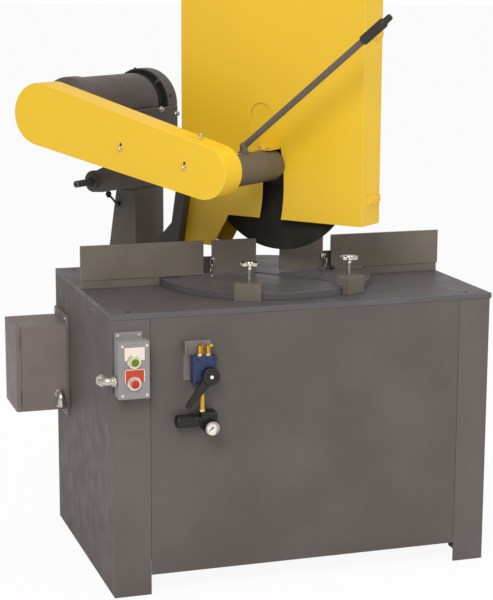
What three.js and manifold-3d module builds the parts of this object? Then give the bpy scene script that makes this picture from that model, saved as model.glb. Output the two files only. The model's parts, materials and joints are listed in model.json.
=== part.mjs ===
// Mitring abrasive chop saw on a sheet-metal cabinet, in millimetres, +Z up.
// X runs right along the front of the cabinet, Y runs back, and Z = 0 is the floor.
// The turntable carries the column and the wheel hood, and the chopping head hinges on the column.
import * as THREE from "three";
import { mergeVertices } from "three/addons/utils/BufferGeometryUtils.js";
import Module from "manifold-3d";

const wasm = await Module();
wasm.setup();

// ---- Clearances ----
const FIT = 0.3; // between pieces that touch
const SEAM = 0.5; // between neighbouring sheets
const RUN = 3; // around what moves past something

// ---- Cabinet ----
const CABINET_WIDTH = 1273;
const CABINET_DEPTH = 864;
const TABLE_HEIGHT = 914;
const TOP_THICK = 18;
const TOP_OVERHANG = 7;
const SHEET = 4;
const LEFT_LEG = 121;
const RIGHT_LEG = 106;
const REAR_FLANGE = 60;
const LEG_RETURN = 40;
const RETURN_LIFT = 43;
const TOE_SPACE = 65;
const SHELF_LIFT = 100;

// ---- Fence ----
const FENCE_Y = 438;
const THROAT_SHIFT = 14.5; // of the throat, to the right of the turntable's centre
const FENCE_THICK = 10;
const FENCE_TALL = 116;
const FENCE_FOOT = 28.5;
const FOOT_SET_IN = 3;
const THROAT = 86;
const SLIDER_LENGTH = 156;
const SLIDER_GAP = 30;
const SLIDE_BAR_TALL = 56;
const SLIDE_BAR_THICK = 12;
const SLIDE_BAR_GRIP = 44;
const SLIDER_GRIP = 105;

// ---- Turntable ----
const TURN_X = CABINET_WIDTH / 2;
const FENCE_X = TURN_X + THROAT_SHIFT;
const TURN_Y = 440;
const TURN_RADIUS = 364;
const TURN_THICK = 24.7;
const MITRE = -50; // degrees from +X to the wheel's forward direction
const HUB_RADIUS = 120;
const HUB_RUN = 1.5;
const HUB_WALL = 20;
const HUB_FLANGE = 22;
const HUB_DEPTH = 32;
const SLOT_FRONT = 262;
const SLOT_BACK = 140;
const SLOT_HALF = 10;
const SWING_ARM_END = 602;
const SWING_ARM_NEAR = 132;
const SWING_ARM_FAR = 82;

// ---- Turntable clamps ----
const CLAMPS = { left: -26, right: 33 }; // degrees from straight ahead
const CLAMP_WIDE = 86;
const CLAMP_TALL = 56;
const CLAMP_OUT = 26;
const CLAMP_LIP = 26;
const STUD_RADIUS = 4.6;
const STUD_TALL = 42;
const STAR_RADIUS = 31;
const STAR_THICK = 11;
const STAR_LOBES = 7;
const STAR_HUB = 11;
const STAR_DIP = 5.6;

// ---- Column and pivot, from the turntable's centre, with heights from the table ----
const PIVOT_BACK = 499;
const PIVOT_Z = TABLE_HEIGHT + 333;
const COLUMN_NEAR = 110;
const COLUMN_FAR = 60;
const COLUMN_FRONT = 457;
const COLUMN_TOP_BACK = 541;
const COLUMN_FOOT_BACK = 583;
const COLUMN_TOP = TABLE_HEIGHT + 286;
const PIVOT_SHAFT = 16;
const PIVOT_STUB = 11.5;
const STUB_END = 391;
const HUB_NEAR = 300;
const BEARING_WIDE = 46;
const BEARING_SPAN = 84;
const BEARING_CAP = 40;
const SPRING_RADIUS = 31;

// ---- Hood, from the turntable's centre, with heights from the table ----
const HOOD_NEAR = 53;
const HOOD_FAR = 68;
const REAR_ROOM = 74; // from the wheel to the hood
const FRONT_ROOM = 51;
const HOOD_TOP = TABLE_HEIGHT + 986;
const HOOD_MOUTH = TABLE_HEIGHT + 221;
const SKIRT_BOTTOM = TABLE_HEIGHT + 110;
const SKIRT_TOE = -173;
const SKIRT_TOP = -110;
const HOOD_SHEET = 3;
const DOOR_DEPTH = 12;
const DOOR_SEAM = 1;
const SLOT_WIDE = 82;
const SLOT_TOP_ANGLE = 24.2;
const SLOT_LOW_ANGLE = -20;
const LATCHES = { lower: TABLE_HEIGHT + 304, upper: TABLE_HEIGHT + 839 };
const LATCH_TALL = 36;
const LATCH_LONG = 72;
const LATCH_THICK = 8;
const STRUT_WIDE = 40;
const STRUT_FOOT = -344;
const STRUT_TOP = TABLE_HEIGHT + 386;
const STRUT_LEAN = 0.16;
const STRUT_THICK = 40;
const GUSSET_TOP = TABLE_HEIGHT + 198;
const GUSSET_FOOT = -448;
const GUSSET_THICK = 10;

// ---- Head, from the pivot ----
const CHOP_RADIUS = 565.5;
const CHOP_ANGLE = 7.2; // degrees of the spindle above level
const WHEEL_OFFSET = 12;
const WHEEL_RADIUS = 290;
const WHEEL_THICK = 4;
const SPINDLE = 15;
const SPINDLE_NOSE = 12;
const FLANGE_RADIUS = 72;
const FLANGE_THICK = 10;
const NUT_ACROSS = 38;
const NUT_THICK = 18;
const HOUSING = 52;
const HOUSING_BORE = 30;
const HOUSING_NOSE = 37;
const NOSE_LENGTH = 24;
const BEARING_THICK = 20;
const ARM_NEAR = 295;
const ARM_FAR = 234;
const ARM_RIM = 14;
const ARM_PLATE = 12;
const ARM_HUB = 27;
const COVER_LOW_ANGLE = 12.2;
const COVER_HIGH_ANGLE = 41;
const COVER_LAP = 13;
const COVER_TAB = 72;
const COVER_REACH = 62;

// ---- Motor, from the pivot ----
const MOTOR_X = -84;
const MOTOR_Z = 235;
const MOTOR_RADIUS = 110;
const MOTOR_NEAR = 366;
const MOTOR_FAR = -84;
const BELL_RADIUS = 115;
const BELL_START = 264;
const BELL_SHOULDER = 328;
const BELL_NOSE = 62;
const FAN_RADIUS = 126;
const FAN_START = -94;
const FAN_END = -166;
const FAN_SHEET = 4;
const MOTOR_SHAFT = 19;
const STATOR_BORE = 66;
const AIR_GAP = 2.5;
const END_SHIELD = 20;
const ROTOR_SHY = 30; // of the stator's bore at each end
const FAN_SETBACK = 22;
const FAN_WIDE = 22;
const FAN_REACH = 80;
const FAN_BLADE = 8;
const PLATE_THICK = 12;
const PLATE_TOP = 230;
const PLATE_BOTTOM = 60;
const PLATE_FAR = -132;
const FOOT_TALL = 140;

// ---- Belt drive and guard ----
const GUARD_BACK = 376;
const GUARD_FRONT = 474;
const GUARD_SHEET = 3;
const GUARD_MOTOR_RADIUS = 103;
const GUARD_SPINDLE_RADIUS = 84;
const GUARD_LIFT = 12; // of the guard's spindle end above the spindle
const PULLEY_BACK = 390;
const PULLEY_WIDE = 60;
const MOTOR_PULLEY = 66;
const SPINDLE_PULLEY = 52;
const BELT_THICK = 9;
const BELT_EDGE = 4;

// ---- Handle, from the pivot ----
const HANDLE_W = 215;
const HANDLE_FOOT_X = 552;
const HANDLE_FOOT_Z = 144;
const HANDLE_ANGLE = 39;
const HANDLE_LENGTH = 675;
const HANDLE_RADIUS = 10.5;
const GRIP_LENGTH = 122;
const GRIP_BORE = 92;
const GRIP_RADIUS = 16;
const GRIP_TIP = 10.5;
const BOSS_LONG = 42;
const BOSS_HALF = 16;
const BOSS_TOP = 8;

// ---- Lock lever, from the pivot ----
const LOCK_X = -31;
const LOCK_Z = -99;
const LOCK_HUB = 9;
const LOCK_HUB_LONG = 14;
const LOCK_BALL = 10;

// ---- Push-button station ----
const STATION_X = 6;
const STATION_WIDE = 100;
const STATION_LOW = 659;
const STATION_TALL = 180;
const STATION_DEEP = 56;
const LUG_TALL = 21;
const LUG_THICK = 5;
const BUTTON_X = 56;
const BUTTONS = { start: 777, stop: 709 };
const BUTTON_RADIUS = 15;
const BUTTON_OUT = 16;
const BUTTON_IN = 12;
const CONDUIT = 11;
const CONDUIT_NUT = 17;

// ---- Electrical box on the left side ----
const BOX_OUT = 165;
const BOX_DOOR = 20;
const BOX_FRONT = 652;
const BOX_BACK = 858;
const BOX_LOW = 455;
const BOX_HIGH = 752;
const BOX_SHEET = 3;
const BOX_RAIL = 7.4;
const RAIL_PAST = 30;
const RAIL_INSET = 4;
const CONTACTOR = { deep: 80, half: 38, low: 120, high: 215 };

// ---- Air controls ----
const VALVE_X = 245;
const VALVE_WIDE = 76;
const VALVE_LOW = 690;
const VALVE_HIGH = 777;
const VALVE_DEEP = 44;
const VALVE_FOOT = 6;
const BRACKET_LEFT = 18;
const BRACKET_RIGHT = 6;
const BRACKET_UP = 42;
const VALVE_HUB_X = 299;
const VALVE_HUB_Z = 715;
const VALVE_HUB = 28;
const LEVER_X = -75;
const LEVER_Z = -94;
const LEVER_HALF = 11;
const LEVER_THICK = 16;
const MUFFLERS = [270, 297];
const MUFFLER_RADIUS = 8;
const MUFFLER_TALL = 34;
const PIPE_X = 280;
const PIPE_RADIUS = 8;
const AIR_Y = -28;
const REGULATOR_WIDE = 45;
const REGULATOR_LOW = 533;
const REGULATOR_HIGH = 598;
const DIAL_X = 301;
const DIAL_Z = 551;
const DIAL_RADIUS = 23;
const DIAL_OUT = 24;
const TURNER_RADIUS = 21;
const TURNER_LONG = 72;
const BONNET_LONG = 14;

// ---- Finishes ----
function finish(colour, roughness, metalness) {
  return new THREE.MeshStandardMaterial({ color: colour, roughness, metalness });
}
const GREY_PAINT = finish("#69625d", 0.55, 0.2);
const DARK_PAINT = finish("#4b4844", 0.6, 0.2);
const YELLOW_PAINT = finish("#eac038", 0.45, 0.1);
const STEEL = finish("#9c9a96", 0.35, 1);
const CHROME = finish("#d5d3cf", 0.15, 1);
const BLACK = finish("#1c1b1a", 0.6, 0);
const ABRASIVE = finish("#26221e", 0.95, 0);
const CAST_GREY = finish("#8b8a8b", 0.5, 0.4);
const BLUE = finish("#2c4a86", 0.4, 0.1);
const GREEN = finish("#6d9a1f", 0.35, 0);
const RED = finish("#c33820", 0.35, 0);

// ---- Solids ----
const radians = THREE.MathUtils.degToRad;

/** A closed geometry as a manifold solid with its faces outwards. */
function solid(geometry) {
  const loose = geometry.index ? geometry.toNonIndexed() : geometry.clone();
  loose.deleteAttribute("normal");
  loose.deleteAttribute("uv");
  const merged = mergeVertices(loose, 1e-4);
  const vertProperties = merged.attributes.position.array;
  const build = (triVerts) => new wasm.Manifold(new wasm.Mesh({ numProp: 3, vertProperties, triVerts }));
  const made = build(new Uint32Array(merged.index.array));
  return made.volume() > 0 ? made : build(new Uint32Array(merged.index.array).reverse());
}

/** The geometry of a manifold solid. */
function geometryOf(made) {
  const mesh = made.getMesh();
  const geometry = new THREE.BufferGeometry();
  geometry.setAttribute("position", new THREE.BufferAttribute(mesh.vertProperties, 3));
  geometry.setIndex(new THREE.BufferAttribute(mesh.triVerts, 1));
  geometry.computeVertexNormals();
  return geometry;
}

function join(first, ...rest) {
  return geometryOf(rest.reduce((sum, next) => sum.add(solid(next)), solid(first)));
}

function cut(first, ...tools) {
  return geometryOf(tools.reduce((left, tool) => left.subtract(solid(tool)), solid(first)));
}

function outline(points) {
  return new THREE.Shape(points.map(([u, v]) => new THREE.Vector2(u, v)));
}

function extrude(points, depth) {
  return new THREE.ExtrudeGeometry(outline(points), { depth, bevelEnabled: false });
}

/** A box between two corners. */
function block([x0, x1], [y0, y1], [z0, z1]) {
  const box = new THREE.BoxGeometry(x1 - x0, y1 - y0, z1 - z0);
  return box.translate((x0 + x1) / 2, (y0 + y1) / 2, (z0 + z1) / 2);
}

/** An outline in X and Z, from y0 to y1. */
function plateXZ(points, y0, y1) {
  return extrude(points, y1 - y0).rotateX(Math.PI / 2).translate(0, y1, 0);
}

/** An outline in X and Y, from z0 to z1. */
function plateXY(points, z0, z1) {
  return extrude(points, z1 - z0).translate(0, 0, z0);
}

/** A cylinder along Y about (x, z). */
function rodY(radius, y0, y1, x = 0, z = 0, sides = 24) {
  return new THREE.CylinderGeometry(radius, radius, y1 - y0, sides).translate(x, (y0 + y1) / 2, z);
}

/** A cylinder along Z about (x, y). */
function rodZ(radius, z0, z1, x = 0, y = 0, sides = 24) {
  const rod = new THREE.CylinderGeometry(radius, radius, z1 - z0, sides);
  return rod.rotateX(Math.PI / 2).translate(x, y, (z0 + z1) / 2);
}

/** A cylinder along X about (y, z). */
function rodX(radius, x0, x1, y = 0, z = 0, sides = 24) {
  const rod = new THREE.CylinderGeometry(radius, radius, x1 - x0, sides);
  return rod.rotateZ(Math.PI / 2).translate((x0 + x1) / 2, y, z);
}

/** A cylinder from one point to another. */
function rodBetween(radius, from, to, sides = 12) {
  const along = to.clone().sub(from);
  const up = new THREE.Vector3(0, 1, 0);
  const turn = new THREE.Quaternion().setFromUnitVectors(up, along.clone().normalize());
  const middle = from.clone().add(to).multiplyScalar(0.5);
  return new THREE.CylinderGeometry(radius, radius, along.length(), sides)
    .applyQuaternion(turn)
    .translate(middle.x, middle.y, middle.z);
}

/** A profile of [radius, height] points spun about Y. */
function turned(profile, sides = 24) {
  return new THREE.LatheGeometry(profile.map(([r, h]) => new THREE.Vector2(r, h)), sides);
}

/** A ring along Y from y0 to y1. */
function ringY(outer, inner, y0, y1, sides = 24) {
  return turned([[inner, y0], [outer, y0], [outer, y1], [inner, y1], [inner, y0]], sides);
}

/** Points of an arc about a centre, angles in degrees. */
function arc(cx, cy, radius, from, to, steps) {
  return Array.from({ length: steps + 1 }, (_, i) => {
    const angle = radians(from + ((to - from) * i) / steps);
    return [cx + radius * Math.cos(angle), cy + radius * Math.sin(angle)];
  });
}

/** The outline of a taut band around two circles, the first on the left. */
function bandOutline([ax, az, ra], [bx, bz, rb], steps = 12) {
  const span = Math.hypot(bx - ax, bz - az);
  const heading = THREE.MathUtils.radToDeg(Math.atan2(bz - az, bx - ax));
  const splay = THREE.MathUtils.radToDeg(Math.acos((ra - rb) / span));
  return [
    ...arc(ax, az, ra, heading + splay, heading + 360 - splay, steps),
    ...arc(bx, bz, rb, heading - splay, heading + splay, steps),
  ];
}

function group(parent, x = 0, y = 0, z = 0) {
  const made = new THREE.Group();
  made.position.set(x, y, z);
  parent.add(made);
  return made;
}

function piece(parent, name, material, geometry) {
  const mesh = new THREE.Mesh(geometryOf(solid(geometry)), material);
  mesh.name = name;
  parent.add(mesh);
  return mesh;
}

// ---- Frames ----
const saw = new THREE.Group();
const swing = group(saw, TURN_X, TURN_Y); // x along the wheel, y to the far side
swing.rotation.z = radians(MITRE);
const head = group(swing, -PIVOT_BACK, 0, PIVOT_Z); // the pivot shaft lies on its y axis
const SPINDLE_X = CHOP_RADIUS * Math.cos(radians(CHOP_ANGLE));
const SPINDLE_Z = CHOP_RADIUS * Math.sin(radians(CHOP_ANGLE));
const WHEEL_X = SPINDLE_X - PIVOT_BACK;
const HOOD_REAR = WHEEL_X - WHEEL_RADIUS - REAR_ROOM;
const HOOD_FRONT = WHEEL_X + WHEEL_RADIUS + FRONT_ROOM;

// ---- Cabinet sheets ----
const PANEL_TOP = TABLE_HEIGHT - TOP_THICK - FIT;

function sideShell(legWidth) {
  return join(
    block([0, SHEET], [0, CABINET_DEPTH], [0, PANEL_TOP]),
    block([0, legWidth], [0, SHEET], [0, PANEL_TOP]),
    block([legWidth - SHEET, legWidth], [0, LEG_RETURN], [RETURN_LIFT, PANEL_TOP]),
    block([0, REAR_FLANGE], [CABINET_DEPTH - SHEET, CABINET_DEPTH], [0, PANEL_TOP]),
  );
}

function makeCabinet() {
  piece(saw, "left_side", GREY_PAINT, sideShell(LEFT_LEG));
  const right = piece(saw, "right_side", GREY_PAINT, sideShell(RIGHT_LEG).scale(-1, 1, 1));
  right.position.x = CABINET_WIDTH;
  const heights = [TOE_SPACE, PANEL_TOP];
  const front = [LEFT_LEG + SEAM, CABINET_WIDTH - RIGHT_LEG - SEAM];
  piece(saw, "front_panel", GREY_PAINT, block(front, [0, SHEET], heights));
  const back = [REAR_FLANGE + SEAM, CABINET_WIDTH - REAR_FLANGE - SEAM];
  piece(saw, "back_panel", GREY_PAINT, block(back, [CABINET_DEPTH - SHEET, CABINET_DEPTH], heights));
  const shelfX = [SHEET + SEAM, CABINET_WIDTH - SHEET - SEAM];
  const shelfY = [LEG_RETURN + SEAM, CABINET_DEPTH - SHEET - SEAM];
  piece(saw, "bottom_shelf", GREY_PAINT, block(shelfX, shelfY, [SHELF_LIFT, SHELF_LIFT + SHEET]));
  const topX = [0, CABINET_WIDTH + TOP_OVERHANG];
  const top = block(topX, [0, CABINET_DEPTH], [TABLE_HEIGHT - TOP_THICK, TABLE_HEIGHT]);
  const well = rodZ(HUB_RADIUS + HUB_RUN, TABLE_HEIGHT - TOP_THICK - 1, TABLE_HEIGHT + 1, TURN_X, TURN_Y, 40);
  piece(saw, "top_plate", GREY_PAINT, cut(top, well));
}

// ---- Fence ----
const FENCE_BOTTOM = TABLE_HEIGHT + FENCE_FOOT;
const FENCE_BACK = FENCE_Y + FENCE_THICK;
const TURN_REACH = TURN_RADIUS + RUN; // where the fixed feet stop short of the turntable

/** One half of the fence; the right half is the mirror image of the left. */
function makeFenceHalf(side, sign, farEnd) {
  const at = (distance) => FENCE_X + sign * distance;
  const span = (a, b) => [Math.min(a, b), Math.max(a, b)];
  const inner = at(THROAT / 2);
  const sliderEnd = at(THROAT / 2 + SLIDER_LENGTH);
  const plateStart = at(THROAT / 2 + SLIDER_LENGTH + SLIDER_GAP);
  const heights = [FENCE_BOTTOM, FENCE_BOTTOM + FENCE_TALL];
  const footStart = TURN_X + sign * TURN_REACH;
  const plate = block(span(plateStart, farEnd), [FENCE_Y, FENCE_BACK], heights);
  const footX = span(footStart, farEnd - sign * FOOT_SET_IN);
  const foot = block(footX, [FENCE_Y + FOOT_SET_IN, FENCE_BACK], [TABLE_HEIGHT + FIT, FENCE_BOTTOM + 1]);
  piece(saw, `fence_${side}`, GREY_PAINT, join(plate, foot));
  const slider = block(span(inner, sliderEnd), [FENCE_Y, FENCE_BACK], heights);
  piece(saw, `sliding_fence_${side}`, GREY_PAINT, slider);
  const barX = span(sliderEnd - sign * SLIDER_GRIP, plateStart + sign * SLIDE_BAR_GRIP);
  const barY = [FENCE_BACK + FIT, FENCE_BACK + FIT + SLIDE_BAR_THICK];
  const bar = block(barX, barY, [FENCE_BOTTOM + RUN, FENCE_BOTTOM + RUN + SLIDE_BAR_TALL]);
  piece(saw, `slide_bar_${side}`, DARK_PAINT, bar);
}

// ---- Turntable clamps: a block that hooks over the rim, with a star knob on a stud ----
const TURN_TOP = TABLE_HEIGHT + FIT + TURN_THICK;
const CLAMP_TOP = TABLE_HEIGHT + FIT + CLAMP_TALL;

function starOutline() {
  const points = [];
  const steps = STAR_LOBES * 8;
  for (let i = 0; i < steps; i += 1) {
    const angle = (i / steps) * 2 * Math.PI;
    const radius = STAR_RADIUS - STAR_DIP * (1 - Math.cos(angle * STAR_LOBES)) * 0.5;
    points.push([radius * Math.cos(angle), radius * Math.sin(angle)]);
  }
  return points;
}

function makeClamp(side, angle) {
  const frame = group(saw, TURN_X, TURN_Y);
  frame.rotation.z = radians(angle);
  const rim = -TURN_RADIUS;
  const half = CLAMP_WIDE / 2;
  const bodyY = [rim - CLAMP_OUT, rim + CLAMP_LIP];
  const body = block([-half, half], bodyY, [TABLE_HEIGHT + FIT, CLAMP_TOP]);
  const rimSpace = rodZ(TURN_RADIUS + 1, TABLE_HEIGHT, TURN_TOP + FIT, 0, 0, 144);
  const studWell = rodZ(STUD_RADIUS + FIT, TURN_TOP - 1, CLAMP_TOP + 1, 0, rim + 8);
  piece(frame, `clamp_block_${side}`, GREY_PAINT, cut(body, rimSpace, studWell));
  const starBase = CLAMP_TOP + STUD_TALL;
  const stud = rodZ(STUD_RADIUS, TURN_TOP + FIT, starBase + 2, 0, rim + 8, 16);
  const hub = rodZ(STAR_HUB, starBase, starBase + 14, 0, rim + 8);
  const star = plateXY(starOutline(), starBase + 12, starBase + 12 + STAR_THICK).translate(0, rim + 8, 0);
  piece(frame, `clamp_knob_${side}`, CHROME, join(stud, hub, star));
}

// ---- Turntable, its hub ring and the swing arm ----
function makeTurntable() {
  const bottom = TABLE_HEIGHT + FIT;
  const disc = rodZ(TURN_RADIUS, bottom, TURN_TOP, 0, 0, 96);
  const slotY = [-WHEEL_OFFSET - SLOT_HALF, -WHEEL_OFFSET + SLOT_HALF];
  const slot = block([-SLOT_BACK, SLOT_FRONT], slotY, [bottom - 1, TURN_TOP + 1]);
  piece(swing, "turntable", GREY_PAINT, cut(disc, slot));
  const flangeTop = TABLE_HEIGHT - TOP_THICK - FIT;
  const hubBottom = TABLE_HEIGHT - HUB_DEPTH;
  const inner = HUB_RADIUS - HUB_WALL;
  const profile = [
    [inner, hubBottom], [HUB_RADIUS + HUB_FLANGE, hubBottom], [HUB_RADIUS + HUB_FLANGE, flangeTop],
    [HUB_RADIUS, flangeTop], [HUB_RADIUS, TABLE_HEIGHT], [inner, TABLE_HEIGHT], [inner, hubBottom],
  ];
  piece(swing, "turntable_hub", STEEL, turned(profile, 40).rotateX(Math.PI / 2));
  const armX = [-SWING_ARM_END, -TURN_RADIUS * 0.8];
  const arm = block(armX, [-SWING_ARM_NEAR, SWING_ARM_FAR], [bottom, TURN_TOP]);
  const rim = rodZ(TURN_RADIUS + SEAM, bottom - 1, TURN_TOP + 1, 0, 0, 96);
  piece(swing, "swing_arm", GREY_PAINT, cut(arm, rim));
}

// ---- Column, bearings, return spring and lock lever ----
function makeColumn() {
  const foot = TURN_TOP + FIT;
  const side = [
    [-COLUMN_FRONT, foot], [-COLUMN_FRONT, COLUMN_TOP],
    [-COLUMN_TOP_BACK, COLUMN_TOP], [-COLUMN_FOOT_BACK, foot],
  ];
  piece(swing, "column", GREY_PAINT, plateXZ(side, -COLUMN_NEAR, COLUMN_FAR));
  const bearingFoot = COLUMN_TOP - PIVOT_Z + FIT;
  const half = BEARING_SPAN / 2;
  const face = [
    [-half, bearingFoot], [half, bearingFoot], [half, -16],
    ...arc(0, 0, BEARING_CAP, -20, 200, 16), [-half, -16],
  ];
  const spans = {
    near: [-COLUMN_NEAR, -COLUMN_NEAR + BEARING_WIDE],
    far: [COLUMN_FAR - BEARING_WIDE, COLUMN_FAR],
  };
  for (const [side, [y0, y1]] of Object.entries(spans)) {
    const bore = rodY(PIVOT_SHAFT + FIT, y0 - 1, y1 + 1);
    piece(head, `pivot_bearing_${side}`, DARK_PAINT, cut(plateXZ(face, y0, y1), bore));
  }
  const [, springStart] = spans.near;
  const [springEnd] = spans.far;
  const coil = ringY(SPRING_RADIUS, PIVOT_SHAFT + RUN, springStart + FIT, springEnd - FIT);
  piece(head, "return_spring", STEEL, coil);
}

function makeLockLever() {
  const face = -COLUMN_NEAR - FIT;
  const lever = group(head, LOCK_X, face, LOCK_Z);
  const foot = new THREE.Vector3(0, -LOCK_HUB_LONG / 2, 0);
  const tip = new THREE.Vector3(-10, -45, 38);
  const ball = new THREE.SphereGeometry(LOCK_BALL, 16, 10).translate(tip.x, tip.y, tip.z);
  const hub = rodY(LOCK_HUB, -LOCK_HUB_LONG, 0);
  piece(lever, "ball_lever", BLACK, join(hub, rodBetween(4, foot, tip), ball));
}

// ---- Wheel hood with its far-side door ----
const HOOD_OUTLINE = [
  [HOOD_REAR, SKIRT_BOTTOM], [SKIRT_TOE, SKIRT_BOTTOM], [SKIRT_TOP, HOOD_MOUTH],
  [HOOD_FRONT, HOOD_MOUTH], [HOOD_FRONT, HOOD_TOP], [HOOD_REAR, HOOD_TOP],
];

/** The hood's inside, run out through its open bottom. */
function hoodSpace(y0, y1) {
  const low = SKIRT_BOTTOM - 1;
  const inside = [
    [HOOD_REAR + HOOD_SHEET, low], [HOOD_FRONT - HOOD_SHEET, low],
    [HOOD_FRONT - HOOD_SHEET, HOOD_TOP - HOOD_SHEET], [HOOD_REAR + HOOD_SHEET, HOOD_TOP - HOOD_SHEET],
  ];
  return plateXZ(inside, y0, y1);
}

/** The arc slot that the spindle travels in, about the pivot. */
function travelSlot() {
  const middle = [-PIVOT_BACK, PIVOT_Z];
  const outer = arc(...middle, CHOP_RADIUS + SLOT_WIDE / 2, SLOT_LOW_ANGLE, SLOT_TOP_ANGLE, 24);
  const inner = arc(...middle, CHOP_RADIUS - SLOT_WIDE / 2, SLOT_TOP_ANGLE, SLOT_LOW_ANGLE, 24);
  const [[endX, endZ]] = arc(...middle, CHOP_RADIUS, SLOT_TOP_ANGLE, SLOT_TOP_ANGLE, 1);
  const end = arc(endX, endZ, SLOT_WIDE / 2, SLOT_TOP_ANGLE, SLOT_TOP_ANGLE + 180, 12).slice(1, -1);
  return plateXZ([...outer, ...end, ...inner], -HOOD_NEAR - 1, -HOOD_NEAR + HOOD_SHEET + 1);
}

function makeHood() {
  const doorStart = HOOD_FAR - DOOR_DEPTH;
  const shell = plateXZ(HOOD_OUTLINE, -HOOD_NEAR, doorStart - DOOR_SEAM);
  const space = hoodSpace(-HOOD_NEAR + HOOD_SHEET, doorStart + 1);
  piece(swing, "hood_shell", YELLOW_PAINT, cut(shell, space, travelSlot()));
  const door = plateXZ(HOOD_OUTLINE, doorStart, HOOD_FAR);
  piece(swing, "hood_door", YELLOW_PAINT, cut(door, hoodSpace(doorStart - 1, HOOD_FAR - HOOD_SHEET)));
  for (const [height, z] of Object.entries(LATCHES)) {
    const latchY = [doorStart - RUN - LATCH_LONG, doorStart - RUN];
    const latchX = [HOOD_FRONT + FIT, HOOD_FRONT + FIT + LATCH_THICK];
    const lever = block(latchX, latchY, [z - LATCH_TALL / 2, z + LATCH_TALL / 2]);
    piece(swing, `latch_${height}`, YELLOW_PAINT, lever);
  }
}

function makeStrut() {
  const foot = TURN_TOP + FIT;
  const at = (z) => STRUT_FOOT + (z - foot) * STRUT_LEAN;
  const near = -HOOD_NEAR - FIT - STRUT_THICK;
  const bar = [
    [at(foot), foot], [at(foot) + STRUT_WIDE, foot],
    [at(STRUT_TOP) + STRUT_WIDE, STRUT_TOP], [at(STRUT_TOP), STRUT_TOP],
  ];
  const gusset = [
    [GUSSET_FOOT, foot], [at(foot) + 5, foot], [at(GUSSET_TOP) + 5, GUSSET_TOP], [GUSSET_FOOT, foot + 28],
  ];
  const middle = near + STRUT_THICK / 2;
  const web = plateXZ(gusset, middle - GUSSET_THICK / 2, middle + GUSSET_THICK / 2);
  piece(swing, "hood_strut", DARK_PAINT, join(plateXZ(bar, near, near + STRUT_THICK), web));
}

// ---- Head: pivot shaft, arm and spindle housing ----
function makeArm() {
  const far = COLUMN_FAR + 14;
  const stub = turned([[0, -far], [PIVOT_SHAFT, -far], [PIVOT_SHAFT, HUB_NEAR], [PIVOT_STUB, HUB_NEAR],
    [PIVOT_STUB, STUB_END], [0, STUB_END]]);
  piece(head, "pivot_shaft", STEEL, stub.rotateZ(Math.PI));
  const rim = HOUSING + ARM_RIM;
  const ribX = MOTOR_X + FAN_RADIUS + PLATE_THICK + 2 * FIT;
  const side = [
    [-40, -36], [38, -34], [200, -2], [SPINDLE_X - rim, 14],
    ...arc(SPINDLE_X, SPINDLE_Z, rim, -90, 90, 10), [SPINDLE_X - 110, 104], [200, 96], [ribX + 80, 130],
    [ribX + 6, PLATE_TOP - 20], [ribX, PLATE_TOP - 20], [ribX, PLATE_BOTTOM - RUN], [-40, 36],
  ];
  const nearPlate = plateXZ(side, -ARM_NEAR, -ARM_NEAR + ARM_PLATE);
  const farPlate = plateXZ(side, -ARM_FAR - ARM_PLATE, -ARM_FAR);
  const web = block([60, SPINDLE_X - 90], [-ARM_NEAR + 1, -ARM_FAR - 1], [24, 24 + ARM_PLATE]);
  const cradle = block([-39, 37], [-ARM_NEAR + 1, -ARM_FAR - 1], [-36, -22]);
  const hub = rodY(ARM_HUB, -HUB_NEAR, -COLUMN_NEAR - RUN);
  const shaftBore = rodY(PIVOT_SHAFT + FIT, -HUB_NEAR - 1, -COLUMN_NEAR);
  const housingBore = rodY(HOUSING + FIT, -ARM_NEAR - 1, -ARM_FAR + 1, SPINDLE_X, SPINDLE_Z, 32);
  const joined = join(nearPlate, farPlate, web, cradle, hub);
  piece(head, "arm", DARK_PAINT, cut(joined, shaftBore, housingBore));
}

const HOUSING_START = HOOD_NEAR + 5; // the housing's big tube stops short of the hood
const HOUSING_END = GUARD_BACK - FIT;

function makeSpindleHousing() {
  const noseEnd = HOUSING_START - NOSE_LENGTH - 5;
  const profile = [
    [HOUSING_BORE, noseEnd], [HOUSING_NOSE, noseEnd], [HOUSING_NOSE, HOUSING_START], [HOUSING, HOUSING_START],
    [HOUSING, HOUSING_END], [HOUSING_BORE, HOUSING_END], [HOUSING_BORE, noseEnd],
  ];
  const frame = group(head, SPINDLE_X, 0, SPINDLE_Z);
  piece(frame, "spindle_housing", GREY_PAINT, turned(profile, 32).rotateZ(Math.PI));
  const starts = { near: HOUSING_END - BEARING_THICK - 4, far: noseEnd + 4 };
  for (const [side, start] of Object.entries(starts)) {
    const race = ringY(HOUSING_BORE - FIT, SPINDLE + FIT, -start - BEARING_THICK, -start);
    piece(frame, `spindle_bearing_${side}`, STEEL, race);
  }
  return frame;
}

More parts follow.
